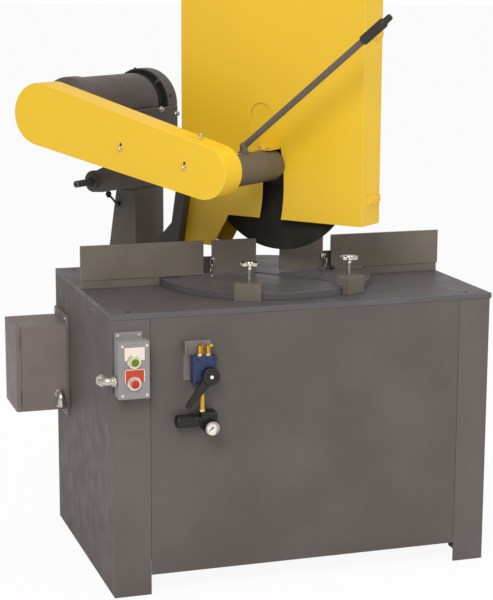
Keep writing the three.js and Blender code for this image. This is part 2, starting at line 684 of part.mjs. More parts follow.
/** Shaft with its inner flange, outer flange with nut, wheel and pulley, on the spindle's axis. */
function makeSpindle(frame) {
  const wheelNear = WHEEL_OFFSET + WHEEL_THICK / 2;
  const wheelFar = WHEEL_OFFSET - WHEEL_THICK / 2;
  const tail = PULLEY_BACK + PULLEY_WIDE + 6;
  const flangeNear = wheelNear + FIT + FLANGE_THICK;
  const noseTip = wheelFar - FIT - FLANGE_THICK - NUT_THICK - 4;
  const profile = [
    [0, noseTip], [SPINDLE_NOSE, noseTip], [SPINDLE_NOSE, wheelNear + FIT], [FLANGE_RADIUS, wheelNear + FIT],
    [FLANGE_RADIUS, flangeNear], [SPINDLE, flangeNear], [SPINDLE, tail], [0, tail],
  ];
  piece(frame, "spindle_shaft", STEEL, turned(profile, 32).rotateZ(Math.PI));
  const outerNear = wheelFar - FIT;
  const flange = rodY(FLANGE_RADIUS, -outerNear, -outerNear + FLANGE_THICK, 0, 0, 32);
  const nut = rodY(NUT_ACROSS / Math.sqrt(3), -outerNear, -outerNear + FLANGE_THICK + NUT_THICK, 0, 0, 6);
  const bore = rodY(SPINDLE_NOSE + FIT, -outerNear - 1, -noseTip + 1);
  piece(frame, "outer_flange", STEEL, cut(join(flange, nut), bore));
  const wheel = ringY(WHEEL_RADIUS, SPINDLE_NOSE + FIT, -wheelNear, -wheelFar, 96);
  piece(frame, "abrasive_wheel", ABRASIVE, wheel);
  const pulley = ringY(SPINDLE_PULLEY, SPINDLE + FIT, -PULLEY_BACK - PULLEY_WIDE, -PULLEY_BACK, 32);
  piece(frame, "spindle_pulley", STEEL, pulley);
}

// ---- Motor on its upright plate ----
function makeMotor() {
  const frame = group(head, MOTOR_X, 0, MOTOR_Z);
  const shaftBore = MOTOR_SHAFT + FIT;
  const profile = [
    [shaftBore, MOTOR_FAR], [MOTOR_RADIUS, MOTOR_FAR], [MOTOR_RADIUS, BELL_START], [BELL_RADIUS, BELL_START],
    [BELL_RADIUS, BELL_SHOULDER], [BELL_NOSE, MOTOR_NEAR], [shaftBore, MOTOR_NEAR], [shaftBore, BELL_START],
    [STATOR_BORE, BELL_START], [STATOR_BORE, MOTOR_FAR + END_SHIELD], [shaftBore, MOTOR_FAR + END_SHIELD],
    [shaftBore, MOTOR_FAR],
  ];
  const body = turned(profile, 40).rotateZ(Math.PI);
  const feetX = [MOTOR_RADIUS - 30, FAN_RADIUS];
  const feetZ = [-FOOT_TALL / 2, FOOT_TALL / 2];
  const feet = [[-60, 0], [190, 250]].map(([w0, w1]) => block(feetX, [-w1, -w0], feetZ));
  const stator = rodY(STATOR_BORE - FIT, -BELL_START, -MOTOR_FAR - END_SHIELD, 0, 0, 40);
  piece(frame, "motor_body", DARK_PAINT, cut(join(body, ...feet), stator));
  const plateX = [FAN_RADIUS + FIT, FAN_RADIUS + FIT + PLATE_THICK];
  const plate = block(plateX, [-ARM_NEAR, -PLATE_FAR], [PLATE_BOTTOM - MOTOR_Z, PLATE_TOP - MOTOR_Z]);
  piece(frame, "motor_plate", DARK_PAINT, plate);
  const cup = turned([
    [0, -FAN_END], [FAN_RADIUS - 22, -FAN_END], [FAN_RADIUS, -FAN_END - 16], [FAN_RADIUS, -FAN_START],
    [FAN_RADIUS - FAN_SHEET, -FAN_START], [FAN_RADIUS - FAN_SHEET, -FAN_END - 16 - FAN_SHEET / 2],
    [FAN_RADIUS - 24, -FAN_END - FAN_SHEET], [0, -FAN_END - FAN_SHEET],
  ], 40);
  const spokes = [45, 135, 225, 315].map((angle) => {
    const spoke = block([MOTOR_RADIUS - 26, FAN_RADIUS - 1], [-MOTOR_FAR + FIT, -FAN_START + 12], [-5, 5]);
    return spoke.rotateY(radians(angle));
  });
  piece(frame, "fan_cover", DARK_PAINT, join(cup, ...spokes));
  const tail = PULLEY_BACK + PULLEY_WIDE + 6;
  const fanY = [-FAN_END - FAN_SETBACK - FAN_WIDE, -FAN_END - FAN_SETBACK];
  const shaft = rodY(MOTOR_SHAFT, -tail, fanY[1], 0, 0, 24);
  const blades = block([-FAN_REACH, FAN_REACH], fanY, [-FAN_BLADE, FAN_BLADE]);
  const coreEnds = [-BELL_START + ROTOR_SHY, -MOTOR_FAR - END_SHIELD - ROTOR_SHY];
  const core = rodY(STATOR_BORE - AIR_GAP, ...coreEnds, 0, 0, 32);
  piece(frame, "motor_shaft", STEEL, join(shaft, blades, core));
  const pulley = ringY(MOTOR_PULLEY, MOTOR_SHAFT + FIT, -PULLEY_BACK - PULLEY_WIDE, -PULLEY_BACK, 32);
  piece(frame, "motor_pulley", STEEL, pulley);
}

// ---- Belts and their guard ----
function makeBeltGuard() {
  const belt = (out) => bandOutline(
    [MOTOR_X, MOTOR_Z, MOTOR_PULLEY + out],
    [SPINDLE_X, SPINDLE_Z, SPINDLE_PULLEY + out], 24,
  );
  const beltY = [-PULLEY_BACK - PULLEY_WIDE + BELT_EDGE, -PULLEY_BACK - BELT_EDGE];
  const beltHole = plateXZ(belt(FIT), beltY[0] - 1, beltY[1] + 1);
  piece(head, "drive_belt", BLACK, cut(plateXZ(belt(BELT_THICK), ...beltY), beltHole));
  const ends = (inset) => bandOutline(
    [MOTOR_X, MOTOR_Z, GUARD_MOTOR_RADIUS - inset],
    [SPINDLE_X + 4, SPINDLE_Z + GUARD_LIFT, GUARD_SPINDLE_RADIUS - inset],
  );
  const backFace = GUARD_BACK + GUARD_SHEET;
  const backPlate = plateXZ(ends(GUARD_SHEET + FIT), -backFace, -GUARD_BACK);
  const holes = [
    rodY(SPINDLE + RUN, -backFace - 1, -GUARD_BACK + 1, SPINDLE_X, SPINDLE_Z),
    rodY(MOTOR_SHAFT + RUN, -backFace - 1, -GUARD_BACK + 1, MOTOR_X, MOTOR_Z),
  ];
  piece(head, "guard_back", YELLOW_PAINT, cut(backPlate, ...holes));
  const cover = plateXZ(ends(0), -GUARD_FRONT, -GUARD_BACK);
  const space = plateXZ(ends(GUARD_SHEET), -GUARD_FRONT + GUARD_SHEET, -GUARD_BACK + 1);
  piece(head, "guard_cover", YELLOW_PAINT, cut(cover, space));
}

// ---- Sliding cover of the hood's slot, bent out on to the spindle housing ----
function makeSlotCover() {
  const inside = HOOD_NEAR - HOOD_SHEET - 2;
  const sector = [
    ...arc(0, 0, CHOP_RADIUS + SLOT_WIDE / 2 + COVER_LAP, COVER_LOW_ANGLE, COVER_HIGH_ANGLE, 12),
    ...arc(0, 0, CHOP_RADIUS - SLOT_WIDE / 2 - COVER_LAP, COVER_HIGH_ANGLE, COVER_LOW_ANGLE, 12),
  ];
  const leaf = plateXZ(sector, -inside, -inside + HOOD_SHEET);
  const tabFoot = SPINDLE_Z + HOUSING + FIT;
  const tabX = [SPINDLE_X - COVER_TAB / 2 - 10, SPINDLE_X + COVER_TAB / 2 - 10];
  const tab = block(tabX, [-HOOD_NEAR - COVER_REACH, -inside + HOOD_SHEET], [tabFoot, tabFoot + HOOD_SHEET]);
  piece(head, "slot_cover", YELLOW_PAINT, join(leaf, tab));
}

// ---- Pull-down handle ----
function makeHandle() {
  const frame = group(head, HANDLE_FOOT_X, -HANDLE_W, HANDLE_FOOT_Z);
  frame.rotation.y = radians(90 - HANDLE_ANGLE); // the handle's own z runs up along the rod
  const rodEnd = HANDLE_LENGTH - GRIP_LENGTH + GRIP_BORE - FIT;
  const bossFoot = SPINDLE_Z + HOUSING + FIT - HANDLE_FOOT_Z;
  const upright = block([-BOSS_LONG / 2, BOSS_LONG / 2], [-BOSS_HALF, BOSS_HALF], [bossFoot, BOSS_TOP]);
  const boss = upright.rotateY(-radians(90 - HANDLE_ANGLE));
  piece(frame, "handle_rod", DARK_PAINT, join(rodZ(HANDLE_RADIUS, -4, rodEnd, 0, 0, 16), boss));
  const start = HANDLE_LENGTH - GRIP_LENGTH;
  const bore = HANDLE_RADIUS + FIT;
  const grip = turned([
    [bore, start], [GRIP_RADIUS - 2, start], [GRIP_RADIUS, start + 6], [GRIP_RADIUS, start + 70],
    [GRIP_RADIUS - 2, start + GRIP_BORE + 4], [GRIP_TIP, start + GRIP_BORE + 10],
    [GRIP_TIP, HANDLE_LENGTH - 3], [GRIP_TIP - 3, HANDLE_LENGTH],
    [0, HANDLE_LENGTH], [0, start + GRIP_BORE], [bore, start + GRIP_BORE], [bore, start],
  ]);
  piece(frame, "handle_grip", BLACK, grip.rotateX(Math.PI / 2));
}

// ---- Push-button station on the left leg ----
function elbow(radius, points) {
  const curve = new THREE.CatmullRomCurve3(points.map((p) => new THREE.Vector3(...p)), false, "centripetal");
  const section = outline(arc(0, 0, radius, 0, 330, 11));
  return new THREE.ExtrudeGeometry(section, { extrudePath: curve, steps: 8, bevelEnabled: false });
}

function makeStation() {
  const face = -STATION_DEEP;
  const right = STATION_X + STATION_WIDE;
  const body = block([STATION_X, right], [face, -FIT], [STATION_LOW, STATION_LOW + STATION_TALL]);
  const lugTop = STATION_LOW + STATION_TALL + LUG_TALL;
  const lug = block([STATION_X, right - 10], [-LUG_THICK, -FIT], [STATION_LOW + STATION_TALL - 1, lugTop]);
  const conduitZ = BUTTONS.stop + 4;
  const conduitY = -STATION_DEEP / 2;
  const bend = elbow(CONDUIT, [
    [STATION_X + 4, conduitY, conduitZ], [STATION_X - 22, conduitY, conduitZ],
    [STATION_X - 38, conduitY + 12, conduitZ], [STATION_X - 42, conduitY + 34, conduitZ],
  ]);
  const nutIn = rodX(CONDUIT_NUT, STATION_X - 9, STATION_X + 2, conduitY, conduitZ, 8);
  const nutOut = rodY(CONDUIT_NUT, conduitY + 20, conduitY + 36, STATION_X - 42, conduitZ, 8);
  const wellY = [face - 1, face + BUTTON_IN];
  const wells = Object.values(BUTTONS).map((z) => rodY(BUTTON_RADIUS + FIT, ...wellY, BUTTON_X, z));
  piece(saw, "station_box", CAST_GREY, cut(join(body, lug, bend, nutIn, nutOut), ...wells));
  const colours = { start: GREEN, stop: RED };
  for (const [name, z] of Object.entries(BUTTONS)) {
    const button = rodY(BUTTON_RADIUS, face - BUTTON_OUT, face + BUTTON_IN - 6, BUTTON_X, z);
    piece(saw, `${name}_button`, colours[name], button);
  }
}

// ---- Electrical box with its door, contactor and conduit bend ----
function makeElectricalBox() {
  const boxX = [-BOX_OUT, -BOX_RAIL];
  const shell = block(boxX, [BOX_FRONT, BOX_BACK], [BOX_LOW, BOX_HIGH]);
  const backX = -BOX_RAIL - BOX_SHEET;
  const insideY = [BOX_FRONT + BOX_SHEET, BOX_BACK - BOX_SHEET];
  const insideZ = [BOX_LOW + BOX_SHEET, BOX_HIGH - BOX_SHEET];
  const inside = block([-BOX_OUT - 1, backX], insideY, insideZ);
  const railZ = [BOX_LOW - RAIL_PAST, BOX_HIGH + RAIL_PAST];
  const rail = block([-BOX_RAIL - 1, -FIT], [BOX_FRONT + RAIL_INSET, BOX_BACK - RAIL_INSET], railZ);
  const glandX = -BOX_RAIL - 28;
  const glandZ = BOX_LOW + 62;
  const bend = elbow(CONDUIT, [
    [glandX, BOX_FRONT + 2, glandZ], [glandX, BOX_FRONT - 16, glandZ],
    [glandX, BOX_FRONT - 28, glandZ - 12], [glandX, BOX_FRONT - 30, glandZ - 32],
  ]);
  const collar = rodZ(CONDUIT_NUT, glandZ - 34, glandZ - 22, glandX, BOX_FRONT - 30, 10);
  piece(saw, "electrical_box", GREY_PAINT, join(cut(shell, inside), rail, bend, collar));
  const doorX = [-BOX_OUT - BOX_DOOR, -BOX_OUT - FIT];
  const door = block(doorX, [BOX_FRONT, BOX_BACK], [BOX_LOW, BOX_HIGH]);
  const tray = block([doorX[0] + BOX_SHEET, doorX[1] + 1], insideY, insideZ);
  piece(saw, "electrical_door", GREY_PAINT, cut(door, tray));
  const middleY = (BOX_FRONT + BOX_BACK) / 2;
  const contactorY = [middleY - CONTACTOR.half, middleY + CONTACTOR.half];
  const contactorZ = [BOX_LOW + CONTACTOR.low, BOX_LOW + CONTACTOR.high];
  const contactor = block([backX - CONTACTOR.deep, backX - FIT], contactorY, contactorZ);
  piece(saw, "contactor", BLACK, contactor);
}

// ---- Air valve, pipe, regulator and gauge on the front panel ----
function makeAirControls() {
  const face = -VALVE_FOOT - VALVE_DEEP;
  const body = block([VALVE_X, VALVE_X + VALVE_WIDE], [face, -VALVE_FOOT], [VALVE_LOW, VALVE_HIGH]);
  const bracketX = [VALVE_X - BRACKET_LEFT, VALVE_X + VALVE_WIDE - BRACKET_RIGHT];
  const bracket = block(bracketX, [-VALVE_FOOT - 1, -FIT], [VALVE_LOW + 4, VALVE_HIGH + BRACKET_UP]);
  const mufflers = MUFFLERS.flatMap((x) => [
    rodZ(MUFFLER_RADIUS, VALVE_HIGH - 1, VALVE_HIGH + MUFFLER_TALL, x, AIR_Y, 16),
    rodZ(MUFFLER_RADIUS + 3, VALVE_HIGH - 1, VALVE_HIGH + 10, x, AIR_Y, 6),
  ]);
  const pipe = rodZ(PIPE_RADIUS, REGULATOR_HIGH + FIT, VALVE_LOW + 1, PIPE_X, AIR_Y, 16);
  piece(saw, "air_valve", BLUE, join(body, bracket, pipe, ...mufflers));
  const turn = group(saw, VALVE_HUB_X, face - FIT, VALVE_HUB_Z);
  const reach = Math.hypot(LEVER_X, LEVER_Z);
  const across = [(-LEVER_Z / reach) * LEVER_HALF, (LEVER_X / reach) * LEVER_HALF];
  const bar = [
    [across[0], across[1]], [LEVER_X + across[0], LEVER_Z + across[1]],
    [LEVER_X - across[0], LEVER_Z - across[1]], [-across[0], -across[1]],
  ];
  const lever = join(rodY(VALVE_HUB, -LEVER_THICK - 6, 0, 0, 0, 32), plateXZ(bar, -LEVER_THICK, -4));
  piece(turn, "valve_lever", BLACK, lever);
  const regX = [PIPE_X, PIPE_X + REGULATOR_WIDE];
  const casing = block(regX, [AIR_Y - 22, -FIT], [REGULATOR_LOW, REGULATOR_HIGH]);
  const gauge = rodY(DIAL_RADIUS, AIR_Y - 22 - DIAL_OUT, AIR_Y - 20, DIAL_X, DIAL_Z, 32);
  const dialWell = rodY(DIAL_RADIUS - 3, AIR_Y - 23 - DIAL_OUT, AIR_Y - 16 - DIAL_OUT, DIAL_X, DIAL_Z, 32);
  const seat = rodZ(PIPE_RADIUS + 4, REGULATOR_HIGH - 20, REGULATOR_HIGH, PIPE_X, AIR_Y, 12);
  const turnerZ = (REGULATOR_LOW + REGULATOR_HIGH) / 2 + 4;
  const turnerEnd = PIPE_X - BONNET_LONG;
  const bonnet = rodX(TURNER_RADIUS - 5, turnerEnd + SEAM, PIPE_X + 1, AIR_Y, turnerZ, 20);
  piece(saw, "regulator", BLACK, cut(join(casing, gauge, seat, bonnet), dialWell));
  const turner = rodX(TURNER_RADIUS, turnerEnd - TURNER_LONG, turnerEnd, AIR_Y, turnerZ, 20);
  piece(saw, "regulator_knob", BLACK, turner);
  const dial = group(saw, DIAL_X, AIR_Y - 16 - DIAL_OUT, DIAL_Z);
  const needle = block([-DIAL_RADIUS + 8, 6], [-2, -FIT], [-1, 1]);
  const boss = rodY(3, -2.4, -FIT, 0, 0, 12);
  piece(dial, "gauge_pointer", BLACK, join(needle, boss));
  dial.rotation.y = radians(40);
}

makeCabinet();
makeFenceHalf("left", -1, 0);
makeFenceHalf("right", 1, CABINET_WIDTH + TOP_OVERHANG);
Object.entries(CLAMPS).forEach(([side, angle]) => makeClamp(side, angle));
makeTurntable();
makeColumn();
makeLockLever();
makeHood();
makeStrut();
makeArm();
makeSpindle(makeSpindleHousing());
makeMotor();
makeBeltGuard();
makeSlotCover();
makeHandle();
makeStation();
makeElectricalBox();
makeAirControls();

// The origin is at the middle of the box round the saw, at floor level.
saw.updateMatrixWorld(true);
const bounds = new THREE.Box3().setFromObject(saw, true);
const centre = bounds.getCenter(new THREE.Vector3());
saw.position.set(-centre.x, -centre.y, -bounds.min.z);

export default saw;
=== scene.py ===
"""Looks of a mitring abrasive chop saw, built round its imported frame.

Pieces are made in millimetres, in the frame of the sub-assembly that carries them, and put in
place in metres. Sheet-metal pieces are copies of the frame's own solids with broken edges; turned,
moulded and cast pieces are modelled again with their real detail.
"""

import json
import logging
import math
from dataclasses import dataclass
from enum import Enum
from typing import Iterable, Optional, Sequence

import bmesh
import bpy
from mathutils import Matrix, Vector


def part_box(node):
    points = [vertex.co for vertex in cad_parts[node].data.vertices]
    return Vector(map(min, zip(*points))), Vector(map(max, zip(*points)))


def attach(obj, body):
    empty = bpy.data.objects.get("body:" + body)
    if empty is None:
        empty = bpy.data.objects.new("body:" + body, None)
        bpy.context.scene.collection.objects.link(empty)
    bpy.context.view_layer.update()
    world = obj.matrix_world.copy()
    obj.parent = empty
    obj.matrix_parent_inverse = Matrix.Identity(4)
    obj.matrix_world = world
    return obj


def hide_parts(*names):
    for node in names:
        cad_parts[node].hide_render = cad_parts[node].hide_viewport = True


LOG = logging.getLogger("chop_saw")

MM = 0.001
Pair = tuple[float, float]
Point = tuple[float, float, float]
Outline = list[Pair]


class Axis(Enum):
    """The axis of a frame that a turned or extruded shape lies along."""

    X = "x"
    Y = "y"
    Z = "z"


class Slot(Enum):
    """The material slots of the record."""

    GREY_PAINT = "grey_paint"
    DARK_PAINT = "dark_paint"
    YELLOW_PAINT = "yellow_paint"
    STEEL = "machined_steel"
    CHROME = "chrome"
    BLACK_PLASTIC = "black_plastic"
    ABRASIVE = "abrasive"
    GREY_CASTING = "grey_casting"
    BRASS = "brass"
    BLUE_ENAMEL = "blue_enamel"
    GREEN_PLASTIC = "green_plastic"
    RED_PLASTIC = "red_plastic"
    RUBBER = "rubber"


# ---------------------------------------------------------------------------
# Materials
# ---------------------------------------------------------------------------


def linear(colour: str) -> tuple[float, float, float, float]:
    """Turn an sRGB hex colour into linear RGBA.

    Args:
        colour: A colour such as "#eac038".

    Returns:
        Red, green, blue and alpha, linear.
    """
    parts = [int(colour[i : i + 2], 16) / 255 for i in (1, 3, 5)]
    made = [c / 12.92 if c <= 0.04045 else ((c + 0.055) / 1.055) ** 2.4 for c in parts]
    return (made[0], made[1], made[2], 1.0)


def add_node(
    tree: bpy.types.NodeTree,
    kind: str,
    settings: Optional[dict[str, object]] = None,
    inputs: Optional[dict[object, object]] = None,
) -> bpy.types.Node:
    """Add a node with its settings, its values and its links.

    Args:
        tree: The node tree.
        kind: The node's type, such as "ShaderNodeMath".
        settings: Properties of the node.
        inputs: Values, or output sockets to link, by the input's name or number.

    Returns:
        The node.
    """
    made = tree.nodes.new(kind)
    for key, value in (settings or {}).items():
        setattr(made, key, value)
    for key, value in (inputs or {}).items():
        if isinstance(value, bpy.types.NodeSocket):
            tree.links.new(value, made.inputs[key])
        else:
            made.inputs[key].default_value = value
    return made


@dataclass(frozen=True)
class Look:
    """What every finish shares: its name, base colour and gloss."""

    name: str
    colour: str
    roughness: float
    metallic: float = 0.0

    def build(self) -> bpy.types.Material:
        """Make the material, once.

        Returns:
            The material.
        """
        found = bpy.data.materials.get(self.name)
        if found:
            return found
        made = bpy.data.materials.new(self.name)
        made.use_nodes = True
        tree = made.node_tree
        tree.nodes.clear()
        shader = add_node(
            tree,
            "ShaderNodeBsdfPrincipled",
            inputs={
                "Base Color": linear(self.colour),
                "Roughness": self.roughness,
                "Metallic": self.metallic,
            },
        )
        add_node(tree, "ShaderNodeOutputMaterial", inputs={"Surface": shader.outputs["BSDF"]})
        self.detail(tree, shader)
        return made

    def detail(self, tree: bpy.types.NodeTree, shader: bpy.types.Node) -> None:
        """Add the finish's own pattern to the shader.

        Args:
            tree: The node tree.
            shader: The shader that takes the pattern.
        """

    def noise(
        self, tree: bpy.types.NodeTree, size_mm: float, detail: float = 3.0, stretch: Point = (1, 1, 1)
    ) -> bpy.types.NodeSocket:
        """Add a noise of a real size.

        Args:
            tree: The node tree.
            size_mm: Width of the pattern's patches.
            detail: Octaves of finer noise.
            stretch: Scale along each axis.

        Returns:
            The noise's value socket.
        """
        place = add_node(tree, "ShaderNodeTexCoord")
        turned = add_node(
            tree, "ShaderNodeMapping", inputs={"Vector": place.outputs["Object"], "Scale": stretch}
        )
        made = add_node(
            tree,
            "ShaderNodeTexNoise",
            inputs={"Vector": turned.outputs["Vector"], "Scale": 1 / (size_mm * MM), "Detail": detail},
        )
        return made.outputs["Fac"]

    def spread(
        self, tree: bpy.types.NodeTree, value: bpy.types.NodeSocket, source: Pair, target: Pair
    ) -> bpy.types.NodeSocket:
        """Map a value from one range to another, clamped.

        Args:
            tree: The node tree.
            value: The socket to map.
            source: Lowest and highest value read.
            target: Lowest and highest value given.

        Returns:
            The mapped socket.
        """
        made = add_node(
            tree,
            "ShaderNodeMapRange",
            inputs={
                "Value": value,
                "From Min": source[0],
                "From Max": source[1],
                "To Min": target[0],
                "To Max": target[1],
            },
        )
        return made.outputs["Result"]

    def blend(
        self, tree: bpy.types.NodeTree, share: object, first: object, second: object
    ) -> bpy.types.NodeSocket:
        """Mix two colours.

        Args:
            tree: The node tree.
            share: The second colour's share, a number or a socket.
            first: The first colour, RGBA or a socket.
            second: The second colour, RGBA or a socket.

        Returns:
            The mixed colour's socket.
        """
        made = add_node(tree, "ShaderNodeMix", {"data_type": "RGBA"}, {0: share, 6: first, 7: second})
        return made.outputs[2]

    def bump(
        self,
        tree: bpy.types.NodeTree,
        shader: bpy.types.Node,
        height: bpy.types.NodeSocket,
        depth_mm: float,
        strength: float = 1.0,
    ) -> None:
        """Give the shader a bump of a real depth.

        Args:
            tree: The node tree.
            shader: The shader that takes it.
            height: The pattern's value.
            depth_mm: Depth of the pattern.
            strength: Share of the bump that shows.
        """
        made = add_node(
            tree,
            "ShaderNodeBump",
            inputs={"Height": height, "Distance": depth_mm * MM, "Strength": strength},
        )
        tree.links.new(made.outputs["Normal"], shader.inputs["Normal"])


@dataclass(frozen=True)
class Enamel(Look):
    """Sprayed machine enamel: a soft sheen with orange peel, uneven dust and edges rubbed paler."""

    dust: str = "#8a827c"
    dust_share: float = 0.3
    worn: str = "#8f8a84"
    worn_share: float = 0.35
    cloud_mm: float = 260.0
    peel_mm: float = 3.2
    speck_mm: float = 2.4
    rim_mm: float = 2.5
    rub_mm: float = 22.0
    sheen_mm: float = 70.0

    def detail(self, tree: bpy.types.NodeTree, shader: bpy.types.Node) -> None:
        """Add clouds of dust, fine speckle, rubbed edges and orange peel.

        Args:
            tree: The node tree.
            shader: The shader that takes the pattern.
        """
        base = linear(self.colour)
        cloud = self.spread(tree, self.noise(tree, self.cloud_mm, 5.0), (0.42, 0.68), (0.0, self.dust_share))
        tint = self.blend(tree, cloud, base, linear(self.dust))
        speck = self.spread(tree, self.noise(tree, self.speck_mm, 2.0), (0.55, 0.8), (0.0, 0.35))
        tint = self.blend(tree, speck, tint, linear(self.dust))
        edge = add_node(tree, "ShaderNodeBevel", {"samples": 4}, {"Radius": self.rim_mm * MM})
        face = add_node(tree, "ShaderNodeNewGeometry")
        match = add_node(
            tree,
            "ShaderNodeVectorMath",
            {"operation": "DOT_PRODUCT"},
            {0: edge.outputs["Normal"], 1: face.outputs["Normal"]},
        )
        rim = self.spread(tree, match.outputs["Value"], (0.985, 0.90), (0.0, self.worn_share))
        patchy = self.spread(tree, self.noise(tree, self.rub_mm, 4.0), (0.4, 0.62), (0.15, 1.0))
        rubbed = add_node(tree, "ShaderNodeMath", {"operation": "MULTIPLY"}, {0: rim, 1: patchy})
        tint = self.blend(tree, rubbed.outputs[0], tint, linear(self.worn))
        tree.links.new(tint, shader.inputs["Base Color"])
        gloss = self.spread(
            tree,
            self.noise(tree, self.sheen_mm, 4.0),
            (0.35, 0.7),
            (self.roughness - 0.07, self.roughness + 0.1),
        )
        tree.links.new(gloss, shader.inputs["Roughness"])
        self.bump(tree, shader, self.noise(tree, self.peel_mm, 2.0), 0.05, 0.5)


@dataclass(frozen=True)
class Machined(Look):
    """Turned or ground steel and brass: bright, with fine tool lines and a film of oil."""

    stained: str = "#6f6a62"
    stain_mm: float = 16.0
    line_mm: float = 4.8  # coarser than a real tool line, so that it shows
    stretch: Point = (1, 1, 24)

    def detail(self, tree: bpy.types.NodeTree, shader: bpy.types.Node) -> None:
        """Add tool lines and darker stains.

        Args:
            tree: The node tree.
            shader: The shader that takes the pattern.
        """
        stain = self.spread(tree, self.noise(tree, self.stain_mm, 5.0), (0.48, 0.75), (0.0, 0.55))
        tint = self.blend(tree, stain, linear(self.colour), linear(self.stained))
        tree.links.new(tint, shader.inputs["Base Color"])
        lines = self.noise(tree, self.line_mm, 2.0, self.stretch)
        gloss = self.spread(tree, lines, (0.3, 0.7), (self.roughness * 0.7, self.roughness * 1.5))
        tree.links.new(gloss, shader.inputs["Roughness"])
        self.bump(tree, shader, lines, 0.02, 0.4)


@dataclass(frozen=True)
class Moulded(Look):
    """Moulded plastic or rubber: an even colour with a fine grain and scuffs."""

    scuff: str = "#4a4843"
    scuff_share: float = 0.25
    grain_mm: float = 1.4
    grain_depth: float = 0.06
    scuff_mm: float = 9.0
    sheen_mm: float = 14.0

    def detail(self, tree: bpy.types.NodeTree, shader: bpy.types.Node) -> None:
        """Add grain and scuffs.

        Args:
            tree: The node tree.
            shader: The shader that takes the pattern.
        """
        marks = self.spread(tree, self.noise(tree, self.scuff_mm, 5.0), (0.5, 0.75), (0.0, self.scuff_share))
        tint = self.blend(tree, marks, linear(self.colour), linear(self.scuff))
        tree.links.new(tint, shader.inputs["Base Color"])
        gloss = self.spread(
            tree,
            self.noise(tree, self.sheen_mm, 3.0),
            (0.35, 0.7),
            (self.roughness - 0.05, self.roughness + 0.12),
        )
        tree.links.new(gloss, shader.inputs["Roughness"])
        self.bump(tree, shader, self.noise(tree, self.grain_mm, 2.0), self.grain_depth, 0.6)


@dataclass(frozen=True)
class Grit(Look):
    """Resin-bonded abrasive: coarse dark grains with pale ones among them, and no gloss."""

    pale: str = "#3f382e"
    grain_mm: float = 2.2
    band_mm: float = 90.0

    def detail(self, tree: bpy.types.NodeTree, shader: bpy.types.Node) -> None:
        """Add the grains, drawn a little coarser than life so that they show.

        Args:
            tree: The node tree.
            shader: The shader that takes the pattern.
        """
        place = add_node(tree, "ShaderNodeTexCoord")
        cells = add_node(
            tree,
            "ShaderNodeTexVoronoi",
            inputs={"Vector": place.outputs["Object"], "Scale": 1 / (self.grain_mm * MM)},
        )
        bright = self.spread(tree, cells.outputs["Color"], (0.62, 0.95), (0.0, 0.6))
        tint = self.blend(tree, bright, linear(self.colour), linear(self.pale))
        band = self.spread(tree, self.noise(tree, self.band_mm, 4.0), (0.4, 0.7), (0.0, 0.35))
        tint = self.blend(tree, band, tint, linear(self.pale))
        tree.links.new(tint, shader.inputs["Base Color"])
        self.bump(tree, shader, cells.outputs["Distance"], 0.5, 0.7)


@dataclass(frozen=True)
class Clear(Look):
    """Clear acrylic over the gauge's dial, thin enough to bend the light very little."""

    ior: float = 1.1

    def detail(self, tree: bpy.types.NodeTree, shader: bpy.types.Node) -> None:
        """Let the dial show through."""
        shader.inputs["Transmission Weight"].default_value = 1.0
        shader.inputs["IOR"].default_value = self.ior


# One warm grey enamel in two copies: a darker one for the front and back and a lighter one for the sides and
# bottom shelf, painted shade and painted light for how the light falls on each face.
PAINT_FRONT_SHADED = Enamel("warm_grey_enamel_front_painted_darker", "#554e4b", 0.5, dust="#6d6561", worn="#857d77")
PAINT_SIDE_LIT = Enamel("warm_grey_enamel_side_painted_lighter", "#5b5452", 0.55, dust="#716a68", worn="#857d7b")
PAINT_BOX = Enamel("starter_box_enamel", "#7d7370", 0.5, dust="#8d8480", worn="#a39a94", cloud_mm=110)
PAINT_TABLE = Enamel(
    "table_enamel", "#575356", 0.42, dust="#6a666b", worn="#938c86", worn_share=0.6, cloud_mm=180
)
PAINT_FENCE = Enamel("fence_enamel", "#6a6359", 0.5, dust="#7b7367", worn="#9a9184", cloud_mm=120)
PAINT_DARK = Enamel("dark_oily_enamel", "#463f3a", 0.42, dust="#5a524b", worn="#6b645c", cloud_mm=60)
PAINT_MOTOR = Enamel("motor_enamel", "#4b4340", 0.36, dust="#5d5450", worn="#6b645c", cloud_mm=90)
PAINT_COLUMN = Enamel("column_enamel", "#5d564e", 0.5, dust="#6d655c", worn="#7d766d", cloud_mm=80)
YELLOW = Enamel(
    "safety_yellow_enamel",
    "#eec32a",
    0.36,
    dust="#e6bb38",
    dust_share=0.35,
    worn="#f4dc84",
    worn_share=0.55,
    cloud_mm=320,
)
STEEL = Machined("turned_steel", "#a7a29b", 0.3, 1.0)
SPRING_STEEL = Machined("oiled_spring_steel", "#5b554e", 0.35, 1.0)
OILED_STEEL = Machined("oiled_turned_steel", "#2b2824", 0.5, 0.6, stained="#1c1916")
CHROME = Machined("chrome_plate", "#e6e2dc", 0.12, 1.0, stained="#b9b2a8")
ZINC = Machined("zinc_plate", "#cfc9bf", 0.28, 1.0, stained="#9c958a")
STUD = Machined("tarnished_stud", "#a99f92", 0.36, 1.0, stained="#6f675c")
BRASS = Machined("turned_brass", "#d6aa45", 0.24, 1.0, stained="#8a6626")
BRASS_PALE = Machined("pale_brass", "#efe0b0", 0.25, 1.0, stained="#c7ae6a")
BLACK = Moulded("black_moulding", "#131210", 0.45, scuff="#33312d")
GRIP_RUBBER = Moulded("grip_vinyl", "#2a2723", 0.6, grain_mm=2.0, grain_depth=0.1)
BELT_RUBBER = Moulded("belt_rubber", "#171615", 0.75)
